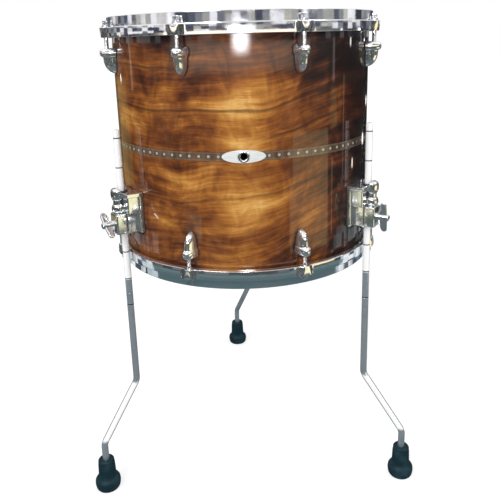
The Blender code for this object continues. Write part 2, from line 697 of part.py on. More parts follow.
# A wing bolt's frame has its origin on its axis at the jaw's face, with +Z pointing out
# along the bolt
def wing_outline():
    """A wing from its root at the hub to its round tip, as points in plan."""
    tip_r = WING_TIP / 2
    centre = Vector((WING_SPAN / 2 - tip_r, HUB_LENGTH / 2 + WING_ROOT / 8))
    points = [Vector((0.0, (HUB_LENGTH - WING_ROOT) / 2))]
    steps = SMALL_SIDES // 2
    for i in range(steps + 1):
        angle = math.radians(-90.0 + 180.0 * i / steps)
        points.append(centre + tip_r * Vector((math.cos(angle), math.sin(angle))))
    points.append(Vector((0.0, (HUB_LENGTH + WING_ROOT) / 2)))
    return points


def make_wing_mesh():
    hub_r = HUB_DIAMETER / 2
    bolt_r = BOLT_DIAMETER / 2
    neck = SEAT_GAP
    tip = JAW_REACH + BOLT_DEPTH
    profile = [
        (0.0, HUB_LENGTH), (hub_r * 0.8, HUB_LENGTH), (hub_r, neck + hub_r / 2), (hub_r, neck),
        (bolt_r, neck), (bolt_r, bolt_r / 2 - tip), (bolt_r / 2, -tip), (0.0, -tip)]
    bolt = turned("wing_bolt", profile, SMALL_SIDES)

    def wing(shape):
        made = [shape.verts.new((point.x, -WING_THICKNESS / 2, point.y)) for point in wing_outline()]
        face = shape.faces.new(made)
        grown = bmesh.ops.extrude_face_region(shape, geom=[face])
        fresh = [item for item in grown["geom"] if isinstance(item, bmesh.types.BMVert)]
        bmesh.ops.translate(shape, vec=(0.0, WING_THICKNESS, 0.0), verts=fresh)
        bmesh.ops.recalc_face_normals(shape, faces=shape.faces[:])

    for turn in (0.0, 180.0):
        petal = mesh_from(f"wing_{turn:.0f}", wing)
        petal.data.transform(turn_about_z(turn))
        combine(bolt, petal, "UNION")
    return settle(bolt)


def make_bushing(side, frame):
    """The flanged sleeve that guides the leg in the block."""
    foot = CLAMP_TOP + SEAT_GAP
    flange_foot = BRACKET_HEIGHT + SEAT_GAP
    flange_top = flange_foot + BUSHING_LIP
    profile = [
        (BUSHING_IN_R, flange_top), (BUSHING_FLANGE_R, flange_top), (BUSHING_FLANGE_R, flange_foot),
        (BUSHING_OUT_R, flange_foot), (BUSHING_OUT_R, foot), (BUSHING_IN_R, foot)]
    bushing = turned(f"leg_bushing_{side}", profile, SMALL_SIDES, ring=True)
    return hold(bushing, frame, Matrix.Identity(4), NYLON)


# A leg is one bent rod. Its frame is the bracket's, turned by its swivel, so that the
# bend leads along +X
def rounded_route(corners, radius, steps):
    """The points of a route with its inner corners replaced by arcs."""
    route = [corners[0]]
    for before, corner, after in zip(corners, corners[1:], corners[2:]):
        back = (before - corner).normalized()
        ahead = (after - corner).normalized()
        half = back.angle(ahead) / 2
        reach = radius / math.tan(half)
        centre = corner + (back + ahead).normalized() * radius / math.sin(half)
        start = corner + back * reach - centre
        end = corner + ahead * reach - centre
        for i in range(steps + 1):
            share = i / steps
            spread = start.angle(end)
            point = start * math.sin((1 - share) * spread) + end * math.sin(share * spread)
            route.append(centre + point / math.sin(spread))
    route.append(corners[-1])
    return route


def make_leg(side, frame):
    """One leg, as a tube along its bent route."""
    floor_z = -(MIDDLE_HEIGHT + BRACKET_Z)
    corners = [
        Vector((0.0, 0.0, floor_z + LEG_TOP_HEIGHT)), Vector((0.0, 0.0, floor_z + LEG_BEND_HEIGHT)),
        Vector((LEG_OFFSET, 0.0, floor_z + LEG_ANKLE_HEIGHT)),
        Vector((LEG_OFFSET, 0.0, floor_z + FOOT_SOLE + SEAT_GAP))]
    points = rounded_route(corners, LEG_BEND_RADIUS, 3)
    curve = bpy.data.curves.new(f"leg_{side}", "CURVE")
    curve.dimensions = "3D"
    curve.bevel_depth = LEG_R
    curve.bevel_resolution = 3
    curve.use_fill_caps = True
    spline = curve.splines.new("POLY")
    spline.points.add(len(points) - 1)
    for slot, point in zip(spline.points, points):
        slot.co = (*point, 1.0)
    leg = settle(place(curve, f"leg_{side}"))
    return hold(leg, frame, turn_about_z(LEG_SWIVELS[side]), CHROME)


# A foot is a moulded rubber boot, whose origin is on the floor at its middle
def make_foot_mesh():
    bore_r = LEG_R + SEAT_GAP
    sleeve_r = SLEEVE_DIAMETER / 2
    foot_r = FOOT_DIAMETER / 2
    waist_r = sleeve_r + (foot_r - sleeve_r) / 6
    profile = [
        (bore_r, FOOT_HEIGHT), (sleeve_r * 0.92, FOOT_HEIGHT), (waist_r, FOOT_BASE_HEIGHT * 1.25),
        (foot_r * 0.95, FOOT_BASE_HEIGHT), (foot_r, FOOT_BASE_HEIGHT * 0.4),
        (FOOT_TREAD_DIAMETER / 2, 0.0), (0.0, 0.0)]
    bore = [(0.0, FOOT_SOLE), (bore_r, FOOT_SOLE)]
    return turned("foot", bore + profile, ROUND_SIDES)


def make_legs():
    """Three brackets with their jaws, bolts, bushings, legs and feet."""
    wing_master = make_wing_mesh()
    foot_master = make_foot_mesh()
    for side, angle in LEG_ANGLES.items():
        frame = bpy.data.objects.new(f"leg_axis_{side}", None)
        PARTS.objects.link(frame)
        across = Matrix.Translation((LEG_AXIS_R, 0.0, BRACKET_Z))
        hold(frame, DRUM, turn_about_z(angle) @ across)
        bpy.context.view_layer.update()
        bolt_side = BOLT_SIDES[side]
        make_bracket(side, frame, bolt_side)
        make_jaw(side, frame, bolt_side)
        make_bushing(side, frame)
        make_leg(side, frame)
        bolt = place(wing_master.data, f"wing_bolt_{side}")
        seat = Matrix.Translation((JAW_REACH, bolt_side * BOLT_OFFSET, BOLT_HEIGHT))
        out = Matrix.Rotation(math.radians(90.0), 4, "Y")
        hold(bolt, frame, seat @ out @ turn_about_z(WING_ANGLES[side]), CHROME)
        foot = place(foot_master.data, f"foot_{side}")
        stand = foot_centre(side)
        stand.z = -MIDDLE_HEIGHT
        hold(foot, DRUM, Matrix.Translation(stand), RUBBER)
    bpy.data.objects.remove(wing_master, do_unlink=True)
    bpy.data.objects.remove(foot_master, do_unlink=True)


make_shell()
make_inlay()
make_vent()
make_vent_plate()
make_heads()
make_hoops()
make_tuning()
make_legs()
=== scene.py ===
"""The floor tom as it looks: each piece in the order in which the drum is put together, then the
floor, the lamps and the camera. Lengths are in metres, and angles in degrees but for the camera's.
"""

import math

import bmesh
import bpy
from bmesh.types import BMEdge, BMVert
from mathutils import Matrix, Vector


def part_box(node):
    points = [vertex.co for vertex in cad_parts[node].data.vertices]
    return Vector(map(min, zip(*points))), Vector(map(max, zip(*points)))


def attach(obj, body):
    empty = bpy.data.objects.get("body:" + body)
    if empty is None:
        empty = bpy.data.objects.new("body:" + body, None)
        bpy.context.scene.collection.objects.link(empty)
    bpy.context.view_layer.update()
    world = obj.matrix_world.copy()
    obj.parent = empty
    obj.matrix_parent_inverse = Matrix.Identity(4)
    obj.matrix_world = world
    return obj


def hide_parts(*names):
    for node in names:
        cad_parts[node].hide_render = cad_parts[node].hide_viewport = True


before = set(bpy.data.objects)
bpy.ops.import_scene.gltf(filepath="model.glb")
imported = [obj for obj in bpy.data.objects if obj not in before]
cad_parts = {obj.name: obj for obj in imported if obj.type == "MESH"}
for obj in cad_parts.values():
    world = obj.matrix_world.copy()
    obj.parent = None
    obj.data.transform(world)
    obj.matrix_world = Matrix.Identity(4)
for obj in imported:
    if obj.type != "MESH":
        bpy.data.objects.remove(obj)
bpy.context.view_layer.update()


# ---- Shell ----
# A tube of bent plywood, 16 inches across and 14 deep, with both ends cut to a bearing edge. The
# outer veneer is figured, its grain runs round the drum, and it lies under clear gloss lacquer.
# A groove round the middle takes the inlay, and a hole at the front takes the air vent.
SHELL_R = 0.2032
SHELL_IN_R = 0.1962
EDGE_Z = 0.1778
EDGE_ROUND = 0.0018
EDGE_CORNER = 0.0005
GROOVE_DEPTH = 0.0015
GROOVE_TOP = 0.0068
GROOVE_FOOT = -0.0058
VENT_HOLE_R = 0.0065
VENT_Z = 0.0005
LACQUER_ROUGHNESS = 0.04
HEARTWOOD = (0.030, 0.011, 0.006)
shell_low, shell_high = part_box("shell")
AXIS = (shell_low + shell_high) / 2
# Paler and darker patches of the figure: the middle's distance round from the front and its height,
# half the length, half the height, and how much paler.
PATCHES = (
    (-0.012, 0.064, 0.050, 0.040, 0.08), (0.006, -0.058, 0.060, 0.040, 0.12),
    (0.014, -0.085, 0.035, 0.030, 0.10), (-0.030, 0.010, 0.070, 0.050, 0.06),
    (-0.205, 0.040, 0.060, 0.035, 0.10), (-0.095, -0.055, 0.060, 0.040, 0.09),
    (0.085, -0.075, 0.060, 0.050, 0.12), (0.050, 0.050, 0.040, 0.060, -0.10),
    (-0.150, 0.095, 0.080, 0.030, -0.06), (-0.030, -0.110, 0.030, 0.025, -0.08),
    (-0.085, -0.090, 0.050, 0.030, -0.09), (0.100, 0.080, 0.050, 0.060, -0.04),
    (-0.070, -0.040, 0.060, 0.040, 0.08), (0.180, 0.045, 0.050, 0.060, -0.07),
    (-0.200, -0.100, 0.050, 0.045, -0.14), (-0.085, 0.048, 0.050, 0.028, 0.12),
    (-0.085, -0.018, 0.050, 0.022, -0.12), (-0.070, -0.075, 0.040, 0.025, 0.05),
    (0.050, -0.072, 0.035, 0.030, 0.10), (-0.018, -0.022, 0.030, 0.022, 0.08))


class Wire:
    """A value in a material. Arithmetic with it adds the nodes that work it out."""

    def __init__(self, tree, socket):
        self.tree = tree
        self.socket = socket

    def maths(self, operation, *others):
        """A Math node on this value and any others."""
        step = self.tree.nodes.new("ShaderNodeMath")
        step.operation = operation
        for slot, value in zip(step.inputs, (self, *others)):
            feed(self.tree, slot, value)
        return Wire(self.tree, step.outputs[0])

    def __add__(self, other):
        return self.maths("ADD", other)

    def __sub__(self, other):
        return self.maths("SUBTRACT", other)

    def __rsub__(self, other):
        return self.maths("MULTIPLY_ADD", -1.0, other)

    def __mul__(self, other):
        return self.maths("MULTIPLY", other)

    def __truediv__(self, other):
        return self.maths("DIVIDE", other)

    def __abs__(self):
        return self.maths("ABSOLUTE")

    __radd__ = __add__
    __rmul__ = __mul__

    def step_up(self, start, end):
        """0 before a start, rising smoothly to 1 at an end."""
        share = (self - start) / (end - start)
        share = share.maths("MAXIMUM", 0.0).maths("MINIMUM", 1.0)
        return share * share * (3 - 2 * share)

    def bell(self, centre, width):
        """1 at a centre, falling smoothly to 0 at a width on either side."""
        return 1 - (abs(self - centre) / width).step_up(0.0, 1.0)

    def window(self, low, high, soft):
        """1 between two values, with soft ends."""
        return self.step_up(low - soft, low + soft) * (1 - self.step_up(high - soft, high + soft))


def feed(tree, slot, value):
    """Link a wire to a socket, or set the socket's own value."""
    if isinstance(value, Wire):
        tree.links.new(value.socket, slot)
    else:
        slot.default_value = value


class Finish:
    """One finish: a shader, with the nodes that feed it."""

    def __init__(self, name, metallic=0.0):
        self.material = bpy.data.materials.new(name)
        self.material.use_nodes = True
        self.tree = self.material.node_tree
        self.shader = self.tree.nodes["Principled BSDF"]
        self.use("Metallic", metallic)

    def use(self, socket, value):
        """Give one of the shader's sockets a value or a wire."""
        feed(self.tree, self.shader.inputs[socket], value)

    def node(self, kind, settings=None, values=None, output=0):
        """Any other node: its type, its settings, then the values or wires of its sockets."""
        made = self.tree.nodes.new(kind)
        for key, value in (settings or {}).items():
            if key == "stops":
                while len(made.color_ramp.elements) < len(value):
                    made.color_ramp.elements.new(0.5)
                for stop, (place, colour) in zip(made.color_ramp.elements, value):
                    stop.position = place
                    stop.color = (*colour, 1.0)
            else:
                setattr(made, key, value)
        for key, value in (values or {}).items():
            feed(self.tree, made.inputs[key], value)
        return Wire(self.tree, made.outputs[output])

    def where(self, origin=(0.0, 0.0, 0.0)):
        """The point's coordinates from an origin, as three wires."""
        point = self.node("ShaderNodeTexCoord", output="Object")
        shifted = self.node("ShaderNodeMapping", values={
            "Vector": point, "Location": [-c for c in origin]})
        return [self.node("ShaderNodeSeparateXYZ", values={0: shifted}, output=i) for i in range(3)]

    def noise(self, point, scale=1.0, detail=2.0, roughness=0.5, distortion=0.0):
        """Smooth noise, about 0 to 1, of three wires times one scale or a scale for each."""
        scales = scale if isinstance(scale, tuple) else (scale, scale, scale)
        scaled = self.node("ShaderNodeCombineXYZ", values={
            i: wire * share for i, (wire, share) in enumerate(zip(point, scales))})
        return self.node("ShaderNodeTexNoise", values={
            "Vector": scaled, "Scale": 1.0, "Detail": detail, "Roughness": roughness,
            "Distortion": distortion})

    def ramp(self, value, stops):
        """A colour that follows a value through stops."""
        return self.node("ShaderNodeValToRGB", {"stops": stops}, {0: value})

    def mix(self, factor, first, second):
        """Two colours mixed by a factor."""
        first = first if isinstance(first, Wire) else (*first, 1.0)
        second = second if isinstance(second, Wire) else (*second, 1.0)
        return self.node("ShaderNodeMix", {"data_type": "RGBA"}, {0: factor, 6: first, 7: second},
                         output=2)

    def bump(self, height, distance, strength=1.0):
        """Raise the surface by a height of 0 to 1 times a distance."""
        self.use("Normal", self.node("ShaderNodeBump", values={
            "Height": height, "Distance": distance, "Strength": strength}))

    def lacquer(self, roughness=LACQUER_ROUGHNESS):
        """A full clear coat over the finish."""
        self.use("Coat Weight", 1.0)
        self.use("Coat Roughness", roughness)


def at(x, y, z):
    """A move, as a matrix."""
    return Matrix.Translation((x, y, z))


def about(angle, axis="Z"):
    """A turn about an axis, as a matrix."""
    return Matrix.Rotation(math.radians(angle), 4, axis)


def outwards(mesh):
    """A bmesh with its faces turned outwards."""
    bmesh.ops.recalc_face_normals(mesh, faces=mesh.faces[:])
    return mesh


def welded(mesh):
    """A bmesh with its doubles merged and its faces turned outwards."""
    bmesh.ops.remove_doubles(mesh, verts=mesh.verts[:], dist=0.000001)
    return outwards(mesh)


def turn(profile, steps, ring=True):
    """A bmesh turned about Z from (radius, height) points, as a ring or from the axis."""
    mesh = bmesh.new()
    dots = [mesh.verts.new((radius, 0.0, height)) for radius, height in profile]
    lines = [mesh.edges.new(pair) for pair in zip(dots, dots[1:])]
    if ring:
        lines.append(mesh.edges.new((dots[-1], dots[0])))
    bmesh.ops.spin(mesh, geom=dots + lines, axis=(0.0, 0.0, 1.0), cent=(0.0, 0.0, 0.0),
                   angle=math.tau, steps=steps, use_merge=True)
    return welded(mesh)


def cylinder(mesh, radius, depth, steps, place, taper=1.0, caps=True):
    """A bmesh with a cylinder added, about the Z axis of a place."""
    bmesh.ops.create_cone(mesh, cap_ends=caps, segments=steps, radius1=radius,
                          radius2=radius * taper, depth=depth, matrix=place)
    return mesh


def as_object(name, mesh):
    """An object that holds a bmesh."""
    data = bpy.data.meshes.new(name)
    mesh.to_mesh(data)
    mesh.free()
    made = bpy.data.objects.new(name, data)
    bpy.context.scene.collection.objects.link(made)
    return made


def carve(mesh, tools, operation="DIFFERENCE"):
    """A bmesh with others cut out of it, or joined to it."""
    base = as_object("work", mesh)
    others = [as_object("tool", tool) for tool in tools]
    for other in others:
        cut = base.modifiers.new("cut", "BOOLEAN")
        cut.operation = operation
        cut.solver = "EXACT"
        cut.object = other
    made = bmesh.new()
    bpy.context.view_layer.update()
    made.from_object(base, bpy.context.evaluated_depsgraph_get())
    for item in [base, *others]:
        bpy.data.objects.remove(item, do_unlink=True)
    return made


def moved(mesh, place):
    """A bmesh moved by a vector or a matrix."""
    matrix = place if isinstance(place, Matrix) else Matrix.Translation(place)
    bmesh.ops.transform(mesh, verts=mesh.verts[:], matrix=matrix)
    return mesh


def piece(name, mesh, body, finishes, stands_for=(), rounding=0.0, sharp=35.0, flats=False):
    """A finished piece from its bmesh, with its finishes, on its body."""
    made = as_object(name, mesh)
    for finish in finishes:
        made.data.materials.append(finish.material)
    made.data.shade_smooth()
    if rounding:
        edge = made.modifiers.new("rounding", "BEVEL")
        edge.width = rounding
        edge.segments = 2
        edge.limit_method = "ANGLE"
        edge.angle_limit = math.radians(sharp)
        edge.harden_normals = True
    else:
        made.data.set_sharp_from_angle(angle=math.radians(sharp))
    if flats:
        level = made.modifiers.new("flat faces", "WEIGHTED_NORMAL")
        level.keep_sharp = True
        level.weight = 60
    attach(made, body)
    if stands_for:
        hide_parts(*stands_for)


def veneer():
    """Veneer whose lines run round the drum, with dark heartwood lines. A pale golden stripe down
    the front is a painted highlight, and the right side, the top and the bottom are darkened as
    painted shade.
    """
    wood = Finish("figured_veneer")
    x, y, z = wood.where(AXIS)
    along = x.maths("ARCTAN2", y * -1) * SHELL_R
    drift = wood.noise((x, y, z), 4.0)
    ripple = wood.noise((x, y, z), (13.0, 13.0, 8.0))
    rise = along.step_up(-0.040, 0.190) * (1 - along.step_up(0.30, 0.60)) * 0.044
    lie = z + (drift - 0.5) * 0.050 + (ripple - 0.5) * 0.013 - rise
    broad = wood.noise((x, y, lie), (9.0, 9.0, 22.0), detail=3.0, roughness=0.55, distortion=0.7)
    bands = wood.noise((x, y, lie), (8.0, 8.0, 80.0), detail=5.0, roughness=0.68)
    fine = wood.noise((x, y, lie), (24.0, 24.0, 430.0), detail=3.0, roughness=0.6)
    curl = wood.noise((x * 48.0, y * 48.0, z * 27.0 + drift * 6.0), detail=3.0, distortion=1.3)

    # Painted light: a pale stripe down the front is a painted highlight, and the right side, the top
    # and the bottom of the veneer are darkened as painted shade.
    edge = along + (broad - 0.5) * 0.040 + (ripple - 0.5) * 0.016
    light = 0.52 + edge.bell(-0.010, 0.080) * 0.20
    light = light - along.step_up(0.060, 0.230) * (1 - along.step_up(0.36, 0.56)) * 0.42
    light = light - z.step_up(0.085, 0.118) * 0.16 - (1 - z.step_up(-0.140, -0.092)) * 0.10
    for centre, height, half_length, half_height, gain in PATCHES:
        light = light + along.bell(centre, half_length) * z.bell(height, half_height) * gain
    tone = (light + (broad - 0.5) * 0.84 + (bands - 0.5) * 0.66 + (fine - 0.5) * 0.28
            + (curl - 0.5) * 0.36)
    body = wood.ramp(tone, [
        (0.10, (0.0097, 0.0036, 0.0026)), (0.20, (0.0232, 0.0066, 0.0034)),
        (0.30, (0.0612, 0.0148, 0.0050)), (0.42, (0.1260, 0.0345, 0.0072)),
        (0.54, (0.2280, 0.0680, 0.0105)), (0.66, (0.3500, 0.1280, 0.0190)),
        (0.80, (0.5150, 0.2280, 0.0420)), (0.92, (0.6800, 0.3800, 0.1050))])

    broken = (bands + fine * 0.6).step_up(0.62, 0.95)
    wide = along.step_up(0.08, 0.17) * (1 - along.step_up(0.22, 0.30))
    heart = 1 - (abs(lie - 0.0600) / (0.0032 + wide * 0.0085)).step_up(0.2, 1.0)
    heart = heart * (0.60 + wide * 0.38)
    under = lie.bell(0.0200, 0.0035) * along.window(0.03, 0.16, 0.03) * 0.75
    lower = lie.bell(-0.0640, 0.0030) * (0.25 + broken * 0.45)
    upper = lie.bell(0.1180, 0.0035) * (0.20 + broken * 0.50)
    line = heart.maths("MAXIMUM", under).maths("MAXIMUM", lower).maths("MAXIMUM", upper)
    body = wood.mix(line, body, HEARTWOOD)
    pores = wood.noise((x, y, lie), (70.0, 70.0, 2400.0), detail=1.0).step_up(0.60, 0.70)
    wood.use("Base Color", wood.mix(pores * 0.40, body, (0.045, 0.015, 0.008)))
    wood.use("Roughness", 0.34 + bands * 0.14)
    wood.use("Specular IOR Level", 0.2)
    wood.use("Coat IOR", 1.5)
    wood.lacquer()
    wood.bump(wood.noise((x, y, z), (40.0, 40.0, 60.0), detail=1.0), 0.00006, 0.3)
    return wood


def ply_wood():
    """The plain inner plies: pale, with straight close grain, oiled."""
    ply = Finish("inner_plies")
    grain = ply.noise(ply.where(AXIS), (9.0, 9.0, 240.0), detail=4.0, roughness=0.6)
    ply.use("Base Color", ply.ramp(grain, [
        (0.30, (0.36, 0.22, 0.12)), (0.55, (0.52, 0.35, 0.20)), (0.75, (0.62, 0.45, 0.28))]))
    ply.use("Roughness", 0.42 + grain * 0.2)
    ply.bump(grain, 0.0001, 0.4)
    return ply


def vent_drill():
    """The cutter for the vent hole, through the front of the shell."""
    place = at(0.0, -SHELL_R, VENT_Z) @ about(90.0, "X") @ Matrix.Rotation(0.05, 4, "Z")
    return cylinder(bmesh.new(), VENT_HOLE_R, 0.03, 30, place)


def drilled_shell():
    """The turned shell with its vent hole, plain ply on every face but the outside."""
    edge_r = SHELL_R - EDGE_ROUND
    slope_z = EDGE_Z - (edge_r - SHELL_IN_R)
    round_z = EDGE_Z - EDGE_ROUND
    corner_r = SHELL_R - EDGE_CORNER
    groove_r = SHELL_R - GROOVE_DEPTH
    mesh = turn([
        (edge_r, EDGE_Z), (corner_r, EDGE_Z - EDGE_CORNER), (SHELL_R, round_z),
        (SHELL_R, GROOVE_TOP), (groove_r, GROOVE_TOP), (groove_r, GROOVE_FOOT),
        (SHELL_R, GROOVE_FOOT), (SHELL_R, -round_z), (corner_r, -EDGE_Z + EDGE_CORNER),
        (edge_r, -EDGE_Z), (SHELL_IN_R, -slope_z), (SHELL_IN_R, slope_z)], 240)
    mesh = carve(mesh, [vent_drill()])
    for face in mesh.faces:
        middle = face.calc_center_median()
        outside = math.hypot(middle.x, middle.y) > SHELL_R - 0.001 and abs(face.normal.z) < 0.5
        face.material_index = 0 if outside else 1
    return moved(mesh, AXIS)


piece("drum_shell", drilled_shell(), "drum", [veneer(), ply_wood()], ["shell"],
      flats=True)


# ---- Inlay ----
# A strip of marquetry glued into the groove, flush with the shell: a brown ground between two pale
# stringing lines, with a row of round mother of pearl dots set into it, all under the same lacquer.
INLAY_TOP = 0.0065
INLAY_FOOT = -0.0055
INLAY_Z = (INLAY_TOP + INLAY_FOOT) / 2
INLAY_THICK = 0.0012
STRINGING_Z = 0.0048
DOT_COUNT = 92
DOT_R = 0.0023
DOT_THICK = 0.0006
DOTS_UNDER_PLATE = 2.3


def marquetry():
    """The strip's ground of crossways grain, darkened over the drum's right side as painted shade,
    its pale lines and a dark ring round each dot.
    """
    strip = Finish("marquetry")
    x, y, z = strip.where(AXIS)
    grain = strip.noise((x, y, z), (130.0, 130.0, 40.0), detail=3.0)
    ground = strip.ramp(grain, [
        (0.30, (0.070, 0.036, 0.022)), (0.52, (0.130, 0.072, 0.042)),
        (0.72, (0.200, 0.125, 0.078))])
    # Painted shade: the ground darker over the drum's right side.
    ground = strip.mix(x.step_up(0.05, 0.18) * 0.6, ground, (0.030, 0.016, 0.011))
    level = z - INLAY_Z
    turns = x.maths("ARCTAN2", y * -1) * (DOT_COUNT / math.tau)
    beside = (turns - turns.maths("FLOOR") - 0.5) * (math.tau * SHELL_R / DOT_COUNT)
    away = (beside * beside + level * level).maths("SQRT")
    ground = strip.mix(away.bell(DOT_R, 0.0012) * 0.7, ground, (0.035, 0.020, 0.014))
    stringing = abs(level).bell(STRINGING_Z, 0.0005) * 0.4
    strip.use("Base Color", strip.mix(stringing, ground, (0.36, 0.31, 0.20)))
    strip.use("Roughness", 0.30 + grain * 0.15)
    strip.lacquer()
    return strip


def pearl():
    """Mother of pearl: pale, with soft clouds of green, rose and blue."""
    shell = Finish("mother_of_pearl")
    cloud = shell.noise(shell.where(AXIS), 420.0, detail=3.0, distortion=1.5)
    shell.use("Base Color", shell.ramp(cloud, [
        (0.25, (0.26, 0.25, 0.26)), (0.42, (0.42, 0.39, 0.29)), (0.55, (0.33, 0.38, 0.30)),
        (0.68, (0.52, 0.43, 0.34)), (0.80, (0.62, 0.60, 0.50))]))
    shell.use("Roughness", 0.15 + cloud * 0.2)
    shell.lacquer(0.05)
    return shell


inlay_in_r = SHELL_R - INLAY_THICK
strip_mesh = turn([
    (SHELL_R, INLAY_TOP), (SHELL_R, INLAY_FOOT), (inlay_in_r, INLAY_FOOT),
    (inlay_in_r, INLAY_TOP)], 240)
piece("inlay_strip", moved(carve(strip_mesh, [vent_drill()]), AXIS), "drum",
      [marquetry()], ["inlay_band"])

dots = bmesh.new()
for count in range(DOT_COUNT):
    from_front = (count + 0.5) - DOT_COUNT * (count >= DOT_COUNT / 2)
    if abs(from_front) > DOTS_UNDER_PLATE:
        seat = (Matrix.Translation(AXIS) @ about(-90.0 + 360.0 * from_front / DOT_COUNT)
                @ at(SHELL_R - 0.0002, 0.0, INLAY_Z) @ about(90.0, "Y"))
        cylinder(dots, DOT_R, DOT_THICK, 14, seat, taper=0.9)
piece("pearl_dots", dots, "drum", [pearl()])


# ---- Air vent and its plate ----
# A chromed brass grommet, flanged outside and rolled over inside, lets air out of the drum. It
# clamps a plain oval plate of brushed metal, bent to the curve of the shell.
PLATE_LENGTH = 0.0600
PLATE_WIDTH = 0.0180
PLATE_THICK = 0.0010
PLATE_HOLE_R = 0.0062
PLATE_R = 0.2035


def chrome(name, tint=(0.90, 0.91, 0.93), roughness=0.05, haze=0.04):
    """Bright chrome plate: faint haze and smears, and the slight ripple of a polished casting."""
    plate = Finish(name)
    point = plate.where(AXIS)
    smear = plate.noise(point, (26.0, 26.0, 40.0), detail=3.0, roughness=0.6)
    speck = plate.noise(point, 500.0, detail=1.0)
    worn = smear.step_up(0.44, 0.74)
    plate.use("Base Color", plate.mix(worn, tint, tuple(c * 0.82 for c in tint)))
    plate.use("Metallic", 1.0 - haze - worn * haze)
    plate.use("Roughness", roughness + worn * 0.06 + speck.step_up(0.6, 0.75) * 0.05)
    plate.bump(smear * 0.8 + speck * 0.2, 0.0002, 0.3)
    return plate


def brushed():
    """Pale brushed metal under clear lacquer, its scratches along the plate."""
    metal = Finish("brushed_plate", metallic=0.30)
    scratch = metal.noise(metal.where(AXIS), (60.0, 60.0, 4200.0), detail=3.0)
    metal.use("Base Color", metal.ramp(scratch, [
        (0.30, (0.66, 0.70, 0.69)), (0.50, (0.86, 0.89, 0.88)), (0.70, (0.97, 0.98, 0.97))]))
    metal.use("Roughness", 0.28 + scratch * 0.2)
    metal.use("Coat Weight", 0.6)
    metal.use("Coat Roughness", 0.1)
    metal.bump(scratch, 0.0001, 0.4)
    return metal


def oval_plate():
    """The oval with its vent hole, bent round the shell."""
    mesh = bmesh.new()
    hole = bmesh.ops.create_circle(mesh, segments=64, radius=PLATE_HOLE_R)["verts"]
    rim = bmesh.ops.create_circle(mesh, segments=64, radius=0.5)["verts"]
    bmesh.ops.scale(mesh, verts=rim, vec=(PLATE_LENGTH, PLATE_WIDTH, 1.0))
    bmesh.ops.bridge_loops(mesh, edges=mesh.edges[:])
    spokes = [edge for edge in mesh.edges if sum(vert in hole for vert in edge.verts) == 1]
    bmesh.ops.subdivide_edges(mesh, edges=spokes, cuts=5, use_grid_fill=True)
    bmesh.ops.solidify(outwards(mesh), geom=mesh.faces[:], thickness=PLATE_THICK)
    low = min(vert.co.z for vert in mesh.verts)
    for vert in mesh.verts:
        round_drum = vert.co.x / SHELL_R
        out = PLATE_R + vert.co.z - low
        vert.co = AXIS + Vector((
            math.sin(round_drum) * out, -math.cos(round_drum) * out, vert.co.y + VENT_Z))
    return outwards(mesh)


piece("oval_vent_plate", oval_plate(), "drum", [brushed()], ["vent_plate"],
      rounding=0.0003)
bright = chrome("bright_chrome")
grommet = turn([
    (0.0050, 0.2057), (0.0058, 0.2062), (0.0070, 0.2062), (0.0080, 0.2056), (0.0084, 0.2048),
    (0.0062, 0.2048), (0.0062, 0.1958), (0.0076, 0.1945), (0.0050, 0.1945)], 40)
vent_place = Matrix.Translation(AXIS + Vector((0.0, 0.0, VENT_Z))) @ about(90.0, "X")
piece("vent_grommet", moved(grommet, vent_place), "drum", [bright], ["air_vent"])


# ---- Heads ----
# A head is a polyester film with a rough white coat, its edge turned down and crimped into a
# round aluminium flesh hoop. It lies over the shell's bearing edge. The lower head is the same,
# turned over.
HEADS = ("batter", "resonant")
FILM_TOP = EDGE_Z + 0.0008
FILM_THICK = 0.0005
LUG_SPACING = 45.0
LUG_ANGLES = [LUG_SPACING * (number + 0.5) for number in range(8)]
TURNED_OVER = about(LUG_ANGLES[0]) @ about(180.0, "X") @ about(-LUG_ANGLES[0])


def on_drum(head):
    """The drum's own frame, turned over for the lower head."""
    return Matrix.Translation(AXIS) @ (TURNED_OVER if head == "resonant" else Matrix.Identity(4))


def coated_film():
    """The sprayed coat: off-white, evenly rough, with a fine stipple and soft clouds."""
    film = Finish("coated_film")
    point = film.where(AXIS)
    stipple = film.noise(point, 900.0)
    cloud = film.noise(point, 14.0, detail=3.0)
    film.use("Base Color", film.ramp(cloud * 0.6 + stipple * 0.4, [
        (0.35, (0.70, 0.70, 0.67)), (0.50, (0.78, 0.78, 0.75)), (0.65, (0.83, 0.83, 0.80))]))
    film.use("Roughness", 0.55 + stipple * 0.2)
    film.bump(stipple, 0.0003, 0.5)
    return film


def grained(name, scale, dark, pale, smooth, spread, origin=(0.0, 0.0, 0.0), metallic=0.0,
            raised=0.0):
    """Two close tones in a grain that also varies the gloss, and may be raised a little."""
    made = Finish(name, metallic)
    grain = made.noise(made.where(origin), scale)
    made.use("Base Color", made.ramp(grain, [(0.3, dark), (0.7, pale)]))
    made.use("Roughness", smooth + grain * spread)
    if raised:
        made.bump(grain, raised, 0.3)
    return made


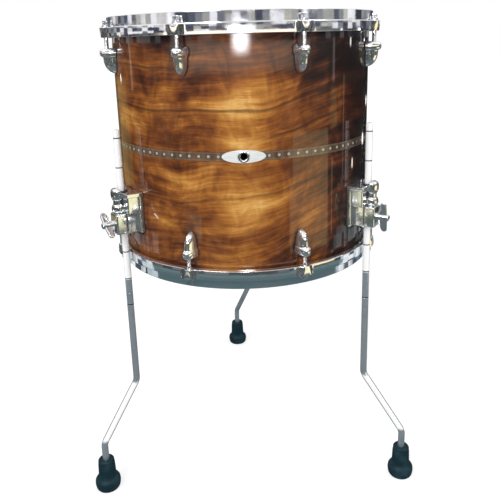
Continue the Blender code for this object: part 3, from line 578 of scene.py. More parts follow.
coat = coated_film()
ring_metal = grained("flesh_hoop_metal", (20.0, 20.0, 2500.0), (0.66, 0.67, 0.68),
                     (0.80, 0.81, 0.82), 0.25, 0.2, AXIS, metallic=1.0)
for head in HEADS:
    film_mesh = turn([
        (0.0, FILM_TOP), (0.1940, FILM_TOP), (0.2005, FILM_TOP), (0.2020, FILM_TOP - 0.0003),
        (0.2033, FILM_TOP - 0.0012), (0.2040, FILM_TOP - 0.0026), (0.2042, 0.1700),
        (0.2042, 0.1698), (0.2037, 0.1698), (0.2037, 0.1758), (0.2027, FILM_TOP - 0.0018),
        (0.2010, FILM_TOP - FILM_THICK), (0.0, FILM_TOP - FILM_THICK)], 192, ring=False)
    piece(f"{head}_skin", moved(film_mesh, on_drum(head)), f"{head}_head", [coat],
          [f"{head}_film"])
    ring = turn([
        (0.2045, 0.1733), (0.2045, 0.1648), (0.2055, 0.1648), (0.2085, 0.1658), (0.2085, 0.1726),
        (0.2075, 0.1733)], 192)
    piece(f"{head}_ring", moved(ring, on_drum(head)), f"{head}_head", [ring_metal],
          [f"{head}_flesh_hoop"], rounding=0.0004)


# ---- Cast hoops ----
# Each hoop is die cast zinc, polished and chromed. The upper tier is the rim, and a wider lower
# tier swells into eight ears, one for each tension rod. It presses the flesh hoop down on the shell.
RIM_Z = 0.1900
STEP_Z = 0.1750
SHOULDER_Z = 0.1736
HOOP_FOOT_Z = 0.1605
RIM_IN_R = 0.2048
RIM_OUT_R = 0.2090
HOOP_IN_R = 0.2088
HOOP_OUT_R = 0.2165
HOOP_ROUND = 0.0009
EAR_OUT_R = 0.2220
EAR_HALF_TOP = 0.0135
EAR_HALF_FOOT = 0.0083
EAR_FLANK = 0.0045


def rounded_corner(radius, height, across, up):
    """A corner's three points: on its upright side, on its round and on its level side."""
    return [(radius, height + up), (radius + across * 0.3, height + up * 0.3),
            (radius + across, height)]


def cast_hoop():
    """The turned hoop, with its lower tier drawn outwards into ears."""
    edge = HOOP_ROUND
    mesh = turn([
        *rounded_corner(RIM_IN_R, RIM_Z, edge, -edge),
        *reversed(rounded_corner(RIM_OUT_R, RIM_Z, -edge, -edge)),
        *rounded_corner(RIM_OUT_R, STEP_Z, edge, edge),
        *reversed(rounded_corner(HOOP_OUT_R, STEP_Z, -edge, -edge)),
        (HOOP_OUT_R, STEP_Z - 0.0075),
        *rounded_corner(HOOP_OUT_R, HOOP_FOOT_Z, -edge, edge),
        (HOOP_IN_R, HOOP_FOOT_Z), (HOOP_IN_R, SHOULDER_Z), (RIM_IN_R, SHOULDER_Z)], 8 * 90)
    reach = EAR_OUT_R - HOOP_OUT_R
    for vert in mesh.verts:
        radius = math.hypot(vert.co.x, vert.co.y)
        if radius < HOOP_OUT_R - 1.5 * edge:
            continue
        angle = math.degrees(math.atan2(vert.co.y, vert.co.x)) - LUG_ANGLES[0]
        off = abs((angle + LUG_SPACING / 2) % LUG_SPACING - LUG_SPACING / 2)
        depth = (STEP_Z - vert.co.z) / (STEP_Z - HOOP_FOOT_Z)
        half = EAR_HALF_TOP + (EAR_HALF_FOOT - EAR_HALF_TOP) * depth
        share = min(max((half - math.radians(off) * HOOP_OUT_R) / EAR_FLANK, 0.0), 1.0)
        swell = share * share * (3 - 2 * share)
        grow = (radius + reach * swell * (1.0 - 0.15 * depth ** 2)) / radius
        vert.co.x *= grow
        vert.co.y *= grow
    return mesh


for head in HEADS:
    piece(f"{head}_cast_hoop", moved(cast_hoop(), on_drum(head)), f"{head}_head",
          [bright], [f"{head}_hoop"], sharp=50.0, flats=True)


# ---- Lugs ----
# Sixteen lugs of chromed cast zinc, each a half teardrop with its broad end towards the hoop. A
# thin black gasket keeps the casting off the lacquer, and two screws hold it from inside the shell.
ROD_CIRCLE_R = 0.2147
LUG_TOP_Z = 0.1455
LUG_LENGTH = 0.0370
LUG_REACH = 0.0226
LUG_HALF_WIDTH = 0.0103
GASKET_FACE = 0.0009
GASKET_MARGIN = 0.0004
LUG_OUTLINE = (
    (0.00, 0.000), (0.52, 0.000), (0.80, 0.012), (0.92, 0.040), (0.985, 0.090), (1.00, 0.150),
    (0.995, 0.230), (0.97, 0.290), (0.90, 0.325), (0.825, 0.345), (0.80, 0.370), (0.795, 0.430),
    (0.77, 0.560), (0.70, 0.700), (0.58, 0.830), (0.42, 0.925), (0.24, 0.980), (0.00, 1.000))


def only(items, kind):
    """The vertices, or the edges, among the items of a bmesh."""
    return [item for item in items if isinstance(item, kind)]


def lug_body(grow, back, face):
    """A half teardrop about its foot on the shell, between two distances from the drum's axis."""
    mesh = turn([(share * LUG_REACH, -depth * LUG_LENGTH) for share, depth in LUG_OUTLINE], 40,
                ring=False)
    middle = Vector((0.0, 0.0, -LUG_LENGTH / 2))
    wider = Matrix.Diagonal((1.0, 1.0 + 2.2 * grow / LUG_HALF_WIDTH, 1.0 + 2 * grow / LUG_LENGTH,
                             1.0))
    squeeze = Matrix.Diagonal((1.0, LUG_HALF_WIDTH / LUG_REACH, 1.0, 1.0))
    moved(mesh, squeeze @ Matrix.Translation(middle) @ wider @ Matrix.Translation(-middle))
    for plane, side in ((back, 1), (face, -1)):
        cut = bmesh.ops.bisect_plane(
            mesh, geom=mesh.verts[:] + mesh.edges[:] + mesh.faces[:], dist=0.000001,
            plane_co=(plane, 0.0, 0.0), plane_no=(-side, 0.0, 0.0), clear_outer=True)
        bmesh.ops.holes_fill(mesh, edges=only(cut["geom_cut"], BMEdge))
    return outwards(mesh)


gasket_rubber = grained("gasket_rubber", 800.0, (0.014, 0.014, 0.016), (0.030, 0.030, 0.032),
                        0.5, 0.3)
lug_chrome = chrome("cast_lug_chrome", (0.92, 0.94, 0.95), 0.06, 0.065)
for head in HEADS:
    for number, angle in enumerate(LUG_ANGLES, start=1):
        stand = on_drum(head) @ about(angle) @ at(SHELL_R, 0.0, LUG_TOP_Z)
        name = f"lug_{head}_{number}"
        piece(f"cast_{name}", moved(lug_body(0.0, GASKET_FACE, LUG_REACH * 2), stand), "drum",
              [lug_chrome], [name], sharp=60.0)
        piece(f"gasket_{name}", moved(lug_body(GASKET_MARGIN, -0.0002, GASKET_FACE), stand),
              "drum", [gasket_rubber])


# ---- Tension rods ----
# Sixteen rods of plated steel pull the hoops towards the lugs. Each has a square key head, a
# flange and a loose washer over the ear, and a thread that turns in the lug.
ROD_R = 0.0030
THREAD_PITCH = 0.00106
KEY_MIDDLE = 0.0065
KEY_SIZE = (0.0062, 0.0062, 0.0070)


def plated_steel():
    """Bright plated steel, with a fine thread below the ear."""
    steel = grained("plated_steel", 60.0, (0.74, 0.75, 0.77), (0.90, 0.91, 0.92), 0.10, 0.12,
                    AXIS, metallic=1.0)
    height = abs(steel.where(AXIS)[2])
    thread = (height * (math.tau / THREAD_PITCH)).maths("SINE")
    cut = 1 - height.step_up(0.1560, 0.1575)
    steel.bump((thread * 0.5 + 0.5) * cut, 0.0004, 0.8)
    return steel


def block(middle, size):
    """A plain block about its middle."""
    mesh = bmesh.new()
    bmesh.ops.create_cube(mesh, size=1.0, matrix=Matrix.Translation(middle)
                          @ Matrix.Diagonal((*size, 1.0)))
    return mesh


def soften(mesh, edges, width, segments=2):
    """A bmesh with some edges rounded."""
    bmesh.ops.bevel(mesh, geom=edges, offset=width, segments=segments, affect="EDGES",
                    profile=0.5, material=-1)
    return mesh


def tension_rod():
    """One rod about its own axis, from the top of the ear at z = 0."""
    shaft = turn([
        (0.0, 0.0034), (0.0040, 0.0034), (0.0046, 0.0030), (0.0046, 0.0018), (0.0047, 0.0017),
        (0.0053, 0.0015), (0.0053, 0.0005), (0.0051, 0.0003), (ROD_R, 0.0003), (ROD_R, -0.0480),
        (0.0022, -0.0490), (0.0, -0.0490)], 28, ring=False)
    key = block((0.0, 0.0, KEY_MIDDLE), KEY_SIZE)
    soften(key, [edge for edge in key.edges if min(v.co.z for v in edge.verts) > KEY_MIDDLE],
           0.0012, 3)
    soften(key, [edge for edge in key.edges
                 if edge.calc_length() > 0.004 and edge.calc_face_angle() > 1.0], 0.0004)
    return carve(shaft, [key], "UNION")


rod_steel = plated_steel()
for head in HEADS:
    for number, angle in enumerate(LUG_ANGLES, start=1):
        seat = on_drum(head) @ about(angle) @ at(ROD_CIRCLE_R, 0.0, STEP_Z)
        name = f"rod_{head}_{number}"
        piece(f"tension_{name}", moved(tension_rod(), seat), name, [rod_steel], [name],
              flats=True)


# ---- Leg brackets ----
# Three chromed castings stand on the shell at the leg positions, over black gaskets. A lipped
# block and a waisted nose guide the leg, and the lower half is the fixed jaw of the leg clamp.
LEG_R = 0.00525
LEG_AXIS_R = 0.22395
BRACKET_Z = -0.1253
LEG_ANGLES = {"right": -34.0, "left": 214.0, "back": 90.0}
BOLT_SIDES = {"right": -1, "left": 1, "back": 1}
SHELL_X = SHELL_R - LEG_AXIS_R
PLATE_FACE = SHELL_X + 0.0048
PLATE_HALF = 0.0270
BLOCK_HALF = 0.0250
LIP_HALF = 0.0285
BRACKET_TOP = 0.0625
CLAMP_TOP = 0.0315
FIXED_JAW_TOP = 0.0363
JAW_SIDE = 0.0165
BOLT_Z = 0.0175
BOLT_Y = 0.0105
PIN_Y = 0.0130
KNUCKLE_R = 0.0045
KNUCKLES = ((0.0, 0.0105), (0.0210, FIXED_JAW_TOP))
KNUCKLE_RIBS = ((0.00003, 0.01045), (0.02105, 0.03625))
KNUCKLE_ROUND = 0.0004
GAP = 0.0003


def rounded_block(low, high, rounding, segments=3):
    """A block between two corners, with all its edges rounded."""
    low, high = Vector(low), Vector(high)
    mesh = block((low + high) / 2, high - low)
    return soften(mesh, mesh.edges[:], rounding, segments)


def bar(radius, start, end, steps=32, rounding=0.0):
    """A round bar between two points."""
    start, end = Vector(start), Vector(end)
    span = end - start
    mesh = cylinder(bmesh.new(), radius, span.length, steps, Matrix.Translation((start + end) / 2)
                    @ span.to_track_quat("Z", "Y").to_matrix().to_4x4())
    if rounding:
        soften(mesh, [edge for edge in mesh.edges if edge.calc_face_angle() > 1.0], rounding)
    return mesh


def bracket_frame(side):
    """The frame on the leg's axis at the bracket's foot, with X pointing away from the drum."""
    return Matrix.Translation(AXIS) @ about(LEG_ANGLES[side]) @ at(LEG_AXIS_R, 0.0, BRACKET_Z)


def drum_tube(inner, outer):
    """A tube on the drum's axis, in a bracket's frame."""
    return moved(turn([(inner, 0.1), (outer, 0.1), (outer, -0.1), (inner, -0.1)], 240,
                      ring=inner > 0), at(-LEG_AXIS_R, 0.0, 0.03))


def bracket_casting(bolt_side):
    """The whole casting, with its bores, in the bracket's frame."""
    inside = SHELL_X - 0.0021
    clamp_back = PLATE_FACE - 0.0024
    pin_y = -bolt_side * PIN_Y
    bolt_y = bolt_side * BOLT_Y
    edge = sorted((bolt_side * JAW_SIDE, -bolt_side * (PIN_Y - KNUCKLE_R)))
    ribs = sorted((-bolt_side * (PIN_Y + 0.0040), -bolt_side * (PIN_Y - KNUCKLE_R)))
    nose = turn([
        (0.0, 0.0685), (0.0046, 0.0685), (0.0068, 0.0680), (0.0084, 0.0665), (0.0092, 0.0643),
        (0.0095, 0.0610), (0.0093, 0.0565), (0.0086, 0.0533), (0.0074, 0.0512), (0.0066, 0.0500),
        (0.0064, 0.0455), (0.0068, 0.0440), (0.0082, 0.0426), (0.0092, 0.0404), (0.0095, 0.0372),
        (0.0092, 0.0338), (0.0082, 0.0321), (0.0070, CLAMP_TOP), (0.0, CLAMP_TOP)], 40,
        ring=False)
    casting = carve(
        rounded_block((inside, -PLATE_HALF, 0.0), (PLATE_FACE, PLATE_HALF, BRACKET_TOP), 0.0014), [
            rounded_block((inside, -BLOCK_HALF, CLAMP_TOP),
                          (0.0016, BLOCK_HALF, BRACKET_TOP - 0.0038), 0.0020),
            rounded_block((inside, -LIP_HALF, BRACKET_TOP - 0.0060),
                          (0.0033, LIP_HALF, BRACKET_TOP + 0.00001), 0.0009),
            moved(nose, at(0.0070, 0.0, 0.0)),
            rounded_block((clamp_back, edge[0], 0.00001), (-GAP, edge[1], FIXED_JAW_TOP), 0.0010),
            *[bar(KNUCKLE_R, (0.0, pin_y, low), (0.0, pin_y, high), rounding=KNUCKLE_ROUND)
              for low, high in KNUCKLES],
            *[rounded_block((clamp_back, ribs[0], low), (-GAP, ribs[1], high), 0.0006)
              for low, high in KNUCKLE_RIBS],
            bar(0.0020, (0.0, pin_y, -GAP), (0.0, pin_y, CLAMP_TOP), 20)], "UNION")
    return carve(casting, [
        bar(0.00965, (0.0, 0.0, BRACKET_TOP), (0.0, 0.0, 0.09), 40),
        bar(0.00745, (0.0, 0.0, CLAMP_TOP - 0.00001), (0.0, 0.0, 0.09), 40),
        bar(LEG_R + GAP, (0.0, 0.0, -0.04), (0.0, 0.0, FIXED_JAW_TOP), 36),
        bar(0.0042, (-0.0123, bolt_y, BOLT_Z), (0.0120, bolt_y, BOLT_Z), 24),
        drum_tube(0.0, SHELL_R + GASKET_FACE)])


def bracket_gasket():
    """The thin pad behind a bracket's plate."""
    half = PLATE_HALF + GASKET_MARGIN
    pad = rounded_block((SHELL_X - 0.0036, -half, -GASKET_MARGIN),
                        (SHELL_X + 0.003, half, BRACKET_TOP + GASKET_MARGIN), 0.0010)
    return carve(pad, [drum_tube(0.0, SHELL_R + 0.00005),
                       drum_tube(SHELL_R + GASKET_FACE, SHELL_R + 0.03)])


cast_chrome = chrome("cast_bracket_chrome", (0.88, 0.90, 0.91), 0.08)
for side, bolt_side in BOLT_SIDES.items():
    piece(f"bracket_casting_{side}", moved(bracket_casting(bolt_side), bracket_frame(side)),
          "drum", [cast_chrome], [f"bracket_{side}"], sharp=30.0, flats=True)
    piece(f"bracket_gasket_{side}", moved(bracket_gasket(), bracket_frame(side)), "drum",
          [gasket_rubber])


# ---- Clamp jaws ----
# The outer half of each leg clamp is a cast jaw on a hinge pin. The wing bolt passes through its
# free side and draws it in, so that the two halves grip the leg.
JAW_TOP = 0.0312
JAW_FACE = 0.0172
BOSS_Y = 0.0085


def clamp_jaw(bolt_side):
    """The outer jaw with its knuckle and bores, in the bracket's frame."""
    pin_y = -bolt_side * PIN_Y
    bolt_y = bolt_side * BOLT_Y
    boss_y = bolt_side * BOSS_Y
    far = -bolt_side * (PIN_Y - KNUCKLE_R - GAP)
    edge = sorted((bolt_side * JAW_SIDE, far))
    web = sorted((pin_y, far + bolt_side * 0.0022))
    jaw = carve(rounded_block((GAP, edge[0], 0.0), (JAW_FACE, edge[1], JAW_TOP), 0.0026, 4), [
        bar(KNUCKLE_R, (0.0, pin_y, 0.0108), (0.0, pin_y, 0.0207), rounding=KNUCKLE_ROUND),
        rounded_block((0.0011, web[0], 0.01085), (KNUCKLE_R, web[1], 0.02065), 0.0005),
        bar(0.0080, (0.0100, boss_y, BOLT_Z), (JAW_FACE, boss_y, BOLT_Z), 32, 0.0010)], "UNION")
    return carve(jaw, [
        bar(0.0023, (0.0, pin_y, 0.0), (0.0, pin_y, JAW_TOP), 20),
        bar(LEG_R + GAP, (0.0, 0.0, -0.03), (0.0, 0.0, 0.06), 36),
        bar(0.0033, (-0.03, bolt_y, BOLT_Z), (0.03, bolt_y, BOLT_Z), 24)])


for side, bolt_side in BOLT_SIDES.items():
    piece(f"outer_jaw_{side}", moved(clamp_jaw(bolt_side), bracket_frame(side)), f"jaw_{side}",
          [cast_chrome], [f"clamp_jaw_{side}"], sharp=30.0, flats=True)


# ---- Wing bolts ----
# A wing bolt is a chromed hub with two cast wings and a threaded shank. It lies along the drum's
# radius, so that its wings stand clear of the leg and can be turned by hand.
WING_ANGLES = {"right": 8.0, "left": 52.0, "back": 25.0}
WING_ROOT = (0.0030, 0.0105, 0.0075)
WING_TIP = (0.01825, 0.0125, 0.00475)
WING_THICK = 0.0034
BOLT_R = 0.0030


def wing(angle):
    """One wing: the hull of a broad root and a round tip, with its edges rounded."""
    mesh = bmesh.new()
    for x, z, radius in (WING_ROOT, WING_TIP):
        cylinder(mesh, radius, WING_THICK, 28, at(x, 0.0, z) @ about(90.0, "X"))
    hull = bmesh.ops.convex_hull(mesh, input=mesh.verts[:])
    spare = set(only(hull["geom_interior"] + hull["geom_unused"], BMVert))
    bmesh.ops.delete(mesh, geom=list(spare), context="VERTS")
    bmesh.ops.dissolve_limit(mesh, angle_limit=0.02, verts=mesh.verts[:], edges=mesh.edges[:])
    soften(mesh, [edge for edge in mesh.edges
                  if len(edge.link_faces) == 2 and edge.calc_face_angle() > 1.0], 0.0011, 3)
    return moved(outwards(mesh), about(angle))


def wing_bolt():
    """The whole bolt about its own axis, with Z pointing out of the jaw."""
    shaft = turn([
        (0.0, 0.0210), (0.0030, 0.0210), (0.0042, 0.0206), (0.0047, 0.0195), (0.0050, 0.0110),
        (0.0052, 0.0040), (0.0055, 0.0030), (0.0055, 0.0008), (0.0050, 0.0003), (BOLT_R, 0.0003),
        (BOLT_R, -0.0277), (0.0015, -0.0292), (0.0, -0.0292)], 36, ring=False)
    return carve(shaft, [wing(0.0), wing(180.0)], "UNION")


for side, bolt_side in BOLT_SIDES.items():
    place = (bracket_frame(side) @ at(JAW_FACE, bolt_side * BOLT_Y, BOLT_Z) @ about(90.0, "Y")
             @ about(WING_ANGLES[side]))
    piece(f"clamp_wing_bolt_{side}", moved(wing_bolt(), place), f"wing_{side}",
          [cast_chrome], [f"wing_bolt_{side}"], sharp=40.0)


# ---- Leg bushings ----
# A flanged sleeve of black nylon is pressed into each bracket from above, and the leg slides in it.
nylon = grained("black_nylon", 300.0, (0.025, 0.025, 0.03), (0.05, 0.05, 0.055), 0.35, 0.2,
                raised=0.0002)
for side in LEG_ANGLES:
    sleeve = turn([
        (0.00555, 0.0643), (0.00875, 0.0643), (0.00935, 0.0638), (0.00935, 0.0628),
        (0.00715, 0.0628), (0.00715, 0.0318), (0.00555, 0.0318)], 40)
    piece(f"nylon_sleeve_{side}", moved(sleeve, bracket_frame(side)), f"bushing_{side}",
          [nylon], [f"leg_bushing_{side}"], rounding=0.0003)


# ---- Legs ----
# Each leg is one chromed steel rod: straight through the bracket, bent outwards below the drum and
# upright again in its foot. Fine dark rings are cut round its upper part to set it by.
LEG_TOP = 0.5750
LEG_LID = 0.0012
LEG_OFFSET = 0.0680
BEND_Z = 0.1640
ANKLE_Z = 0.0800
BEND_R = 0.0170
LEG_END = 0.0163
LEG_SWIVELS = {"right": 0.0, "left": 9.0, "back": 24.0}
RING_TOP = 0.5630
RING_STEP = 0.0440


def leg_chrome():
    """Chrome with cut rings, steel grey, with a painted reflection: near-white above the last ring
    and on the front legs' slopes, with a darker painted outline at their edges.
    """
    plate = Finish("leg_chrome")
    x, y, z = plate.where()
    smear = plate.noise((x, y, z), (30.0, 30.0, 18.0), detail=3.0)
    rings_down = (RING_TOP - z) / RING_STEP
    near = abs(rings_down - rings_down.maths("ROUND"))
    ring = (1 - near.step_up(0.012, 0.026)) * z.step_up(0.290, 0.2905)
    # Painted reflection: the upper leg and the front legs' slopes are painted near-white and made
    # less metallic, with a darker painted outline where the surface turns from view.
    slope = z.window(ANKLE_Z + 0.004, BEND_Z - 0.002, 0.003) * (1 - y.step_up(0.0, 0.05))
    pale = z.step_up(0.3405, 0.3425) + slope
    facing = plate.node("ShaderNodeLayerWeight", values={"Blend": 0.5}, output=1)
    rim = facing.step_up(0.50 - slope * 0.28, 0.80 - slope * 0.24)
    painted_outline = plate.mix(slope, (0.60, 0.63, 0.66), (0.10, 0.14, 0.17))
    # Painted reflection: near-white, with the painted outline towards the edges.
    polished = plate.mix(rim, (1.0, 1.0, 1.0), painted_outline)
    steel = plate.mix(smear.step_up(0.4, 0.75), (0.86, 0.90, 0.94), (0.62, 0.68, 0.74))
    plate.use("Base Color", plate.mix(ring, plate.mix(pale, steel, polished), (0.03, 0.03, 0.032)))
    plate.use("Metallic", 0.86 - pale * 0.79)
    plate.use("Roughness", 0.16 + smear * 0.10 + ring * 0.3)
    plate.bump(1 - ring, 0.0004, 0.6)
    return plate


def leg_rod():
    """The bent rod about the leg's axis, with the bend leading along X and the floor at z = 0."""
    mesh = bmesh.new()
    bmesh.ops.create_circle(mesh, segments=28, radius=LEG_R, matrix=at(0.0, 0.0, LEG_TOP - LEG_LID))
    slope = math.atan2(LEG_OFFSET, BEND_Z - ANKLE_Z)
    back_off = BEND_R * math.tan(slope / 2)
    length = math.hypot(LEG_OFFSET, BEND_Z - ANKLE_Z) - 2 * back_off

    def run(rim, to):
        """Draw the rim of open edges straight on."""
        grown = bmesh.ops.extrude_edge_only(mesh, edges=rim)["geom"]
        bmesh.ops.translate(mesh, verts=only(grown, BMVert), vec=to)
        return [edge for edge in only(grown, BMEdge) if len(edge.link_faces) == 1]

    def bend(rim, centre, angle):
        """Swing the rim about a centre, round the Y axis."""
        return only(bmesh.ops.spin(mesh, geom=rim, axis=(0.0, 1.0, 0.0), cent=centre, angle=angle,
                                   steps=10)["geom_last"], BMEdge)

    top = mesh.edges[:]
    rim = run(top, Vector((0.0, 0.0, BEND_Z + back_off - LEG_TOP + LEG_LID)))
    rim = bend(rim, (BEND_R, 0.0, BEND_Z + back_off), -slope)
    rim = run(rim, length * Vector((math.sin(slope), 0.0, -math.cos(slope))))
    rim = bend(rim, (LEG_OFFSET - BEND_R, 0.0, ANKLE_Z - back_off), slope)
    rim = run(rim, Vector((0.0, 0.0, LEG_END - ANKLE_Z + back_off)))
    bmesh.ops.holes_fill(mesh, edges=rim)
    lid = run(top, Vector((0.0, 0.0, LEG_LID)))
    bmesh.ops.scale(mesh, verts=list({vert for edge in lid for vert in edge.verts}),
                    vec=(0.78, 0.78, 1.0))
    bmesh.ops.holes_fill(mesh, edges=lid)
    return welded(mesh)


leg_plate = leg_chrome()
for side, swivel in LEG_SWIVELS.items():
    stand = bracket_frame(side)
    stand.translation.z = 0.0
    piece(f"bent_leg_{side}", moved(leg_rod(), stand @ about(swivel)), f"leg_{side}",
          [leg_plate], [f"leg_{side}"], sharp=40.0)


# ---- Feet ----
# A moulded rubber foot is pushed onto the end of each leg: a sleeve with a rolled top, a waist,
# and a flared base with a grooved tread.
def foot_rubber():
    """Black rubber with a faint bloom and the grain of its mould."""
    rubber = Finish("foot_rubber")
    point = rubber.where()
    grain = rubber.noise(point, 700.0)
    dust = rubber.noise(point, 60.0, detail=3.0).step_up(0.45, 0.75)
    rubber.use("Base Color", rubber.mix(dust, (0.004, 0.024, 0.036), (0.010, 0.042, 0.058)))
    rubber.use("Specular IOR Level", 0.25)
    rubber.use("Roughness", 0.42 + dust * 0.25 + grain * 0.1)
    rubber.bump(grain, 0.0003, 0.4)
    return rubber


def foot():
    """The turned foot, standing on z = 0 about its own axis."""
    return turn([
        (0.0, 0.0160), (0.00555, 0.0160), (0.00555, 0.0520), (0.0100, 0.0520), (0.0117, 0.0513),
        (0.0126, 0.0498), (0.0127, 0.0482), (0.0121, 0.0472), (0.0124, 0.0462), (0.0131, 0.0448),
        (0.0133, 0.0420), (0.0136, 0.0340), (0.0139, 0.0260), (0.0143, 0.0216), (0.0158, 0.0190),
        (0.0182, 0.0173), (0.0196, 0.0150), (0.0200, 0.0106), (0.0198, 0.0076), (0.0192, 0.0068),
        (0.0191, 0.0061), (0.0194, 0.0053), (0.0188, 0.0027), (0.0175, 0.0007), (0.0155, 0.0),
        (0.0, 0.0)], 56, ring=False)


boot = foot_rubber()
for side in LEG_ANGLES:
    low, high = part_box(f"foot_{side}")
    middle = (low + high) / 2
    piece(f"rubber_foot_{side}", moved(foot(), at(middle.x, middle.y, 0.0)), f"leg_{side}",
          [boot], [f"foot_{side}"], sharp=60.0)


# ---- Floor, reflections, lamps and camera ----
# A plain pale floor that keeps the drum's shadow, and that glows in reflections as a painted
# reflection of a room: dark slate near the drum, pale farther off. Round the drum stands a screen
# that only the lacquer and the chrome see, with a studio's dark flags and pale cards on it, and the
# flash at the height of the lens. Two soft lamps light the drum.
FLOOR_SIZE = 14.0
SCREEN_R = 0.90
SCREEN_HEIGHT = 0.94
SCREEN_MIDDLE = 0.48
BLACK = (0.0, 0.0, 0.0)
# The screen's cards: from one angle to another, from one height to another, how soft the sides
# are, and the colour.
CARDS = (
    (38.0, 71.0, 0.13, 0.46, 0.7, (1.20, 1.02, 0.56)),
    (35.0, 49.0, 0.130, 0.320, 0.5, (1.05, 1.00, 0.62)),
    (44.0, 53.0, 0.660, 0.820, 0.6, (1.30, 1.25, 1.40)),
    (-54.0, -47.0, 0.660, 0.820, 0.6, (1.30, 1.25, 1.35)),
    (-42.0, -35.0, 0.165, 0.245, 0.5, (1.00, 0.94, 0.64)),
    (-49.0, -42.0, 0.165, 0.245, 0.5, (0.44, 0.47, 0.40)),
    (73.0, 80.0, 0.46, 0.57, 0.8, (0.40, 0.42, 0.20)),
    (75.0, 76.2, 0.16, 0.38, 0.4, (1.3, 0.9, 0.8)),
    (75.5, 77.5, 0.585, 0.700, 0.8, (1.3, 1.1, 1.2)),
    (-0.7, 0.7, 0.420, 0.620, 0.4, (0.55, 0.42, 0.32)),
    (88.6, 89.8, 0.12, 0.60, 0.4, (0.9, 0.65, 0.6)),
    (-101.0, -98.5, 0.57, 0.88, 0.6, (1.2, 0.9, 0.8)),
    (-136.0, -110.0, 0.18, 0.60, 3.0, (0.38, 0.27, 0.11)),
    (-175.0, -140.0, 0.10, 0.88, 4.0, (0.12, 0.16, 0.09)),
    (97.0, 99.0, 0.675, 0.705, 0.5, (9.0, 9.0, 9.0)),
    (125.5, 127.5, 0.665, 0.69, 0.5, (8.0, 7.0, 8.0)),
    (138.5, 140.5, 0.50, 0.525, 0.6, (7.0, 7.0, 7.0)),
    (126.0, 129.0, 0.39, 0.42, 0.8, (8.0, 7.0, 7.0)),
    (103.0, 105.0, 0.335, 0.36, 0.6, (9.0, 8.0, 7.0)),
    (-122.5, -120.5, 0.59, 0.61, 0.5, (6.0, 6.0, 6.0)))


def show(made, light):
    """Make a material show this light alone, in place of its shader."""
    made.tree.links.new(light.socket, made.tree.nodes["Material Output"].inputs["Surface"])
    return made


def floor_finish():
    """White to the eye, with the shadow left on it. In reflections it glows as a painted reflection:
    dark slate near the drum, pale farther off.
    """
    made = Finish("pale_floor")
    seen = made.node("ShaderNodeLightPath", output="Is Camera Ray")
    mirrored = made.node("ShaderNodeLightPath", output="Is Glossy Ray")
    x, y, z = made.where(AXIS)
    distance = (x * x + y * y).maths("SQRT")
    # Painted reflection: to glossy rays the floor glows dark slate near the drum and pale farther
    # off.
    shade = made.mix(distance.step_up(1.1, 2.4), (0.10, 0.125, 0.14), (0.9, 0.9, 0.9))
    white = made.mix(distance.step_up(0.8, 3.0), (0.62, 0.62, 0.62), (0.80, 0.80, 0.80))
    glow = made.mix(seen, made.mix(mirrored, BLACK, shade), white)
    lit = made.mix(seen, (0.72, 0.72, 0.72), (0.52, 0.52, 0.52))
    matte = made.mix(mirrored, lit, BLACK)
    return show(made, made.node("ShaderNodeAddShader", values={
        0: made.node("ShaderNodeBsdfDiffuse", values={0: matte}),
        1: made.node("ShaderNodeEmission", values={0: glow})}))


def screen_finish():
    """Slate low down, dark in the middle with pale cards, broken blocks of light and dark above."""
    made = Finish("screen")
    x, y, z = made.where(Vector((AXIS.x, AXIS.y, 0.0)))
    angle = x.maths("ARCTAN2", y * -1) * (180.0 / math.pi)

    def blocks(wide, tall, shift):
        """A random value for each block of an angle by a height."""
        return made.node("ShaderNodeTexWhiteNoise", {"noise_dimensions": "2D"}, {
            "Vector": made.node("ShaderNodeCombineXYZ", values={
                0: (angle / wide + shift).maths("FLOOR"), 1: (z / tall).maths("FLOOR"), 2: 0.0})})

    front = 1 - abs(angle).step_up(70.0, 84.0)
    colour = made.mix(front, (0.016, 0.020, 0.022), made.ramp(blocks(9.0, 0.06, 5.5), [
        (0.0, (0.015, 0.022, 0.022)), (0.45, (0.035, 0.045, 0.045)),
        (0.75, (0.075, 0.090, 0.088)), (1.0, (0.16, 0.18, 0.175))]))
    low = 1 - z.step_up(0.10, 0.105)
    slate = made.mix(z.step_up(0.03, 0.10), (0.055, 0.112, 0.126), (0.108, 0.182, 0.196))
    colour = made.mix(low, colour, slate)
    sides = abs(angle).step_up(78.0, 79.0) * (1 - z.step_up(0.17, 0.175))
    colour = made.mix(sides, colour, made.ramp(blocks(7.0, 0.05, 3.3), [
        (0.0, (0.01, 0.02, 0.05)), (0.40, (0.04, 0.08, 0.13)), (0.55, (0.45, 0.56, 0.60)),
        (1.0, (1.0, 1.0, 1.0))]))
    for low_angle, high_angle, low_z, high_z, soft, card in CARDS:
        inside = angle.window(low_angle, high_angle, soft) * z.window(low_z, high_z, 0.006)
        colour = made.mix(inside, colour, card)
    pale_wall = angle.window(-52.0, 44.0, 14.0) * z.window(0.625, 0.700, 0.020)
    colour = made.mix(pale_wall, colour, (1.75, 1.45, 1.15))
    high = z.step_up(0.694, 0.698) * (1 - (abs(angle + 2) - 49.0).bell(0.0, 4.0))
    colour = made.mix(high, colour, made.ramp(blocks(5.2, 0.036, 0.0), [
        (0.0, (0.010, 0.015, 0.022)), (0.24, (0.030, 0.040, 0.085)), (0.42, (0.10, 0.11, 0.14)),
        (0.58, (0.27, 0.28, 0.29)), (0.72, (0.48, 0.46, 0.39)), (0.85, (0.90, 0.87, 0.92)),
        (1.0, (1.0, 1.0, 1.0))]))
    flash = angle.bell(0.0, 9.0) * z.bell(0.700, 0.048)
    colour = made.mix(flash, colour, (48.0, 48.0, 50.0))
    return show(made, made.node("ShaderNodeEmission", values={0: colour}))


ground = bmesh.new()
bmesh.ops.create_grid(ground, x_segments=1, y_segments=1, size=FLOOR_SIZE)
floor = as_object("floor", ground)
floor.data.materials.append(floor_finish().material)

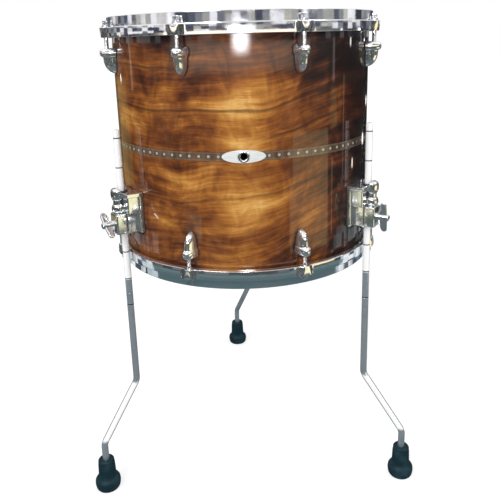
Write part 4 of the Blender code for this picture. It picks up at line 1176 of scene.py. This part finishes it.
wall = cylinder(bmesh.new(), SCREEN_R, SCREEN_HEIGHT, 120, at(AXIS.x, AXIS.y, SCREEN_MIDDLE),
                caps=False)
screen = as_object("screen", wall)
screen.data.materials.append(screen_finish().material)
screen.visible_camera = False
screen.visible_diffuse = False
screen.visible_shadow = False
screen.visible_transmission = False

world = bpy.data.worlds.new("studio")
world.use_nodes = True
bpy.context.scene.world = world
nodes = world.node_tree.nodes
path = nodes.new("ShaderNodeLightPath")
either = Wire(world.node_tree, path.outputs["Is Camera Ray"])
for kind in ("Is Glossy Ray", "Is Transmission Ray"):
    either = either.maths("MAXIMUM", Wire(world.node_tree, path.outputs[kind]))
tone = nodes.new("ShaderNodeMix")
tone.data_type = "RGBA"
feed(world.node_tree, tone.inputs[0], either)
tone.inputs[6].default_value = (0.68, 0.68, 0.68, 1.0)
tone.inputs[7].default_value = (1.0, 1.0, 1.0, 1.0)
world.node_tree.links.new(tone.outputs[2], nodes["Background"].inputs["Color"])


def lamp(name, place, size, power):
    """A soft round lamp at a place, turned towards the drum."""
    light = bpy.data.lights.new(name, "AREA")
    light.shape = "ELLIPSE"
    light.size = size
    light.size_y = size
    light.energy = power
    made = bpy.data.objects.new(name, light)
    bpy.context.scene.collection.objects.link(made)
    towards = (AXIS - Vector(place)).to_track_quat("-Z", "Y")
    made.matrix_world = Matrix.Translation(place) @ towards.to_matrix().to_4x4()
    made.visible_camera = False


lamp("key_lamp", (-1.3, -2.1, 2.2), 1.4, 44.0)
lamp("fill_lamp", (1.9, -1.2, 1.5), 1.2, 13.0)

# The camera stands where the photograph was taken from. Its angles are in radians.
FRAME_PIXELS = 500.0
LENS_PIXELS = 585.04
SENSOR_WIDTH = 36.0
SHIFT_PIXELS = -60.0
CAMERA_BACK = 0.9770
CAMERA_SIDE = 0.0009
CAMERA_Z = 0.7001
PITCH = 0.2546
YAW = 0.0080
ROLL = -0.0267
ahead = Vector((
    math.sin(YAW) * math.cos(PITCH), math.cos(YAW) * math.cos(PITCH), -math.sin(PITCH)))
right = ahead.cross(Vector((0.0, 0.0, 1.0))).normalized()
up = right.cross(ahead)
level = math.cos(ROLL) * right + math.sin(ROLL) * up
upright = math.cos(ROLL) * up - math.sin(ROLL) * right
lens = bpy.data.cameras.new("camera")
lens.sensor_fit = "HORIZONTAL"
lens.sensor_width = SENSOR_WIDTH
lens.lens = SENSOR_WIDTH * LENS_PIXELS / FRAME_PIXELS
lens.shift_y = SHIFT_PIXELS / FRAME_PIXELS
camera = bpy.data.objects.new("camera", lens)
bpy.context.scene.collection.objects.link(camera)
facing = Matrix((level, upright, -ahead)).transposed().to_4x4()
camera.matrix_world = at(AXIS.x + CAMERA_SIDE, AXIS.y - CAMERA_BACK, CAMERA_Z) @ facing
bpy.context.scene.camera = camera
bpy.context.scene.view_settings.view_transform = "Standard"
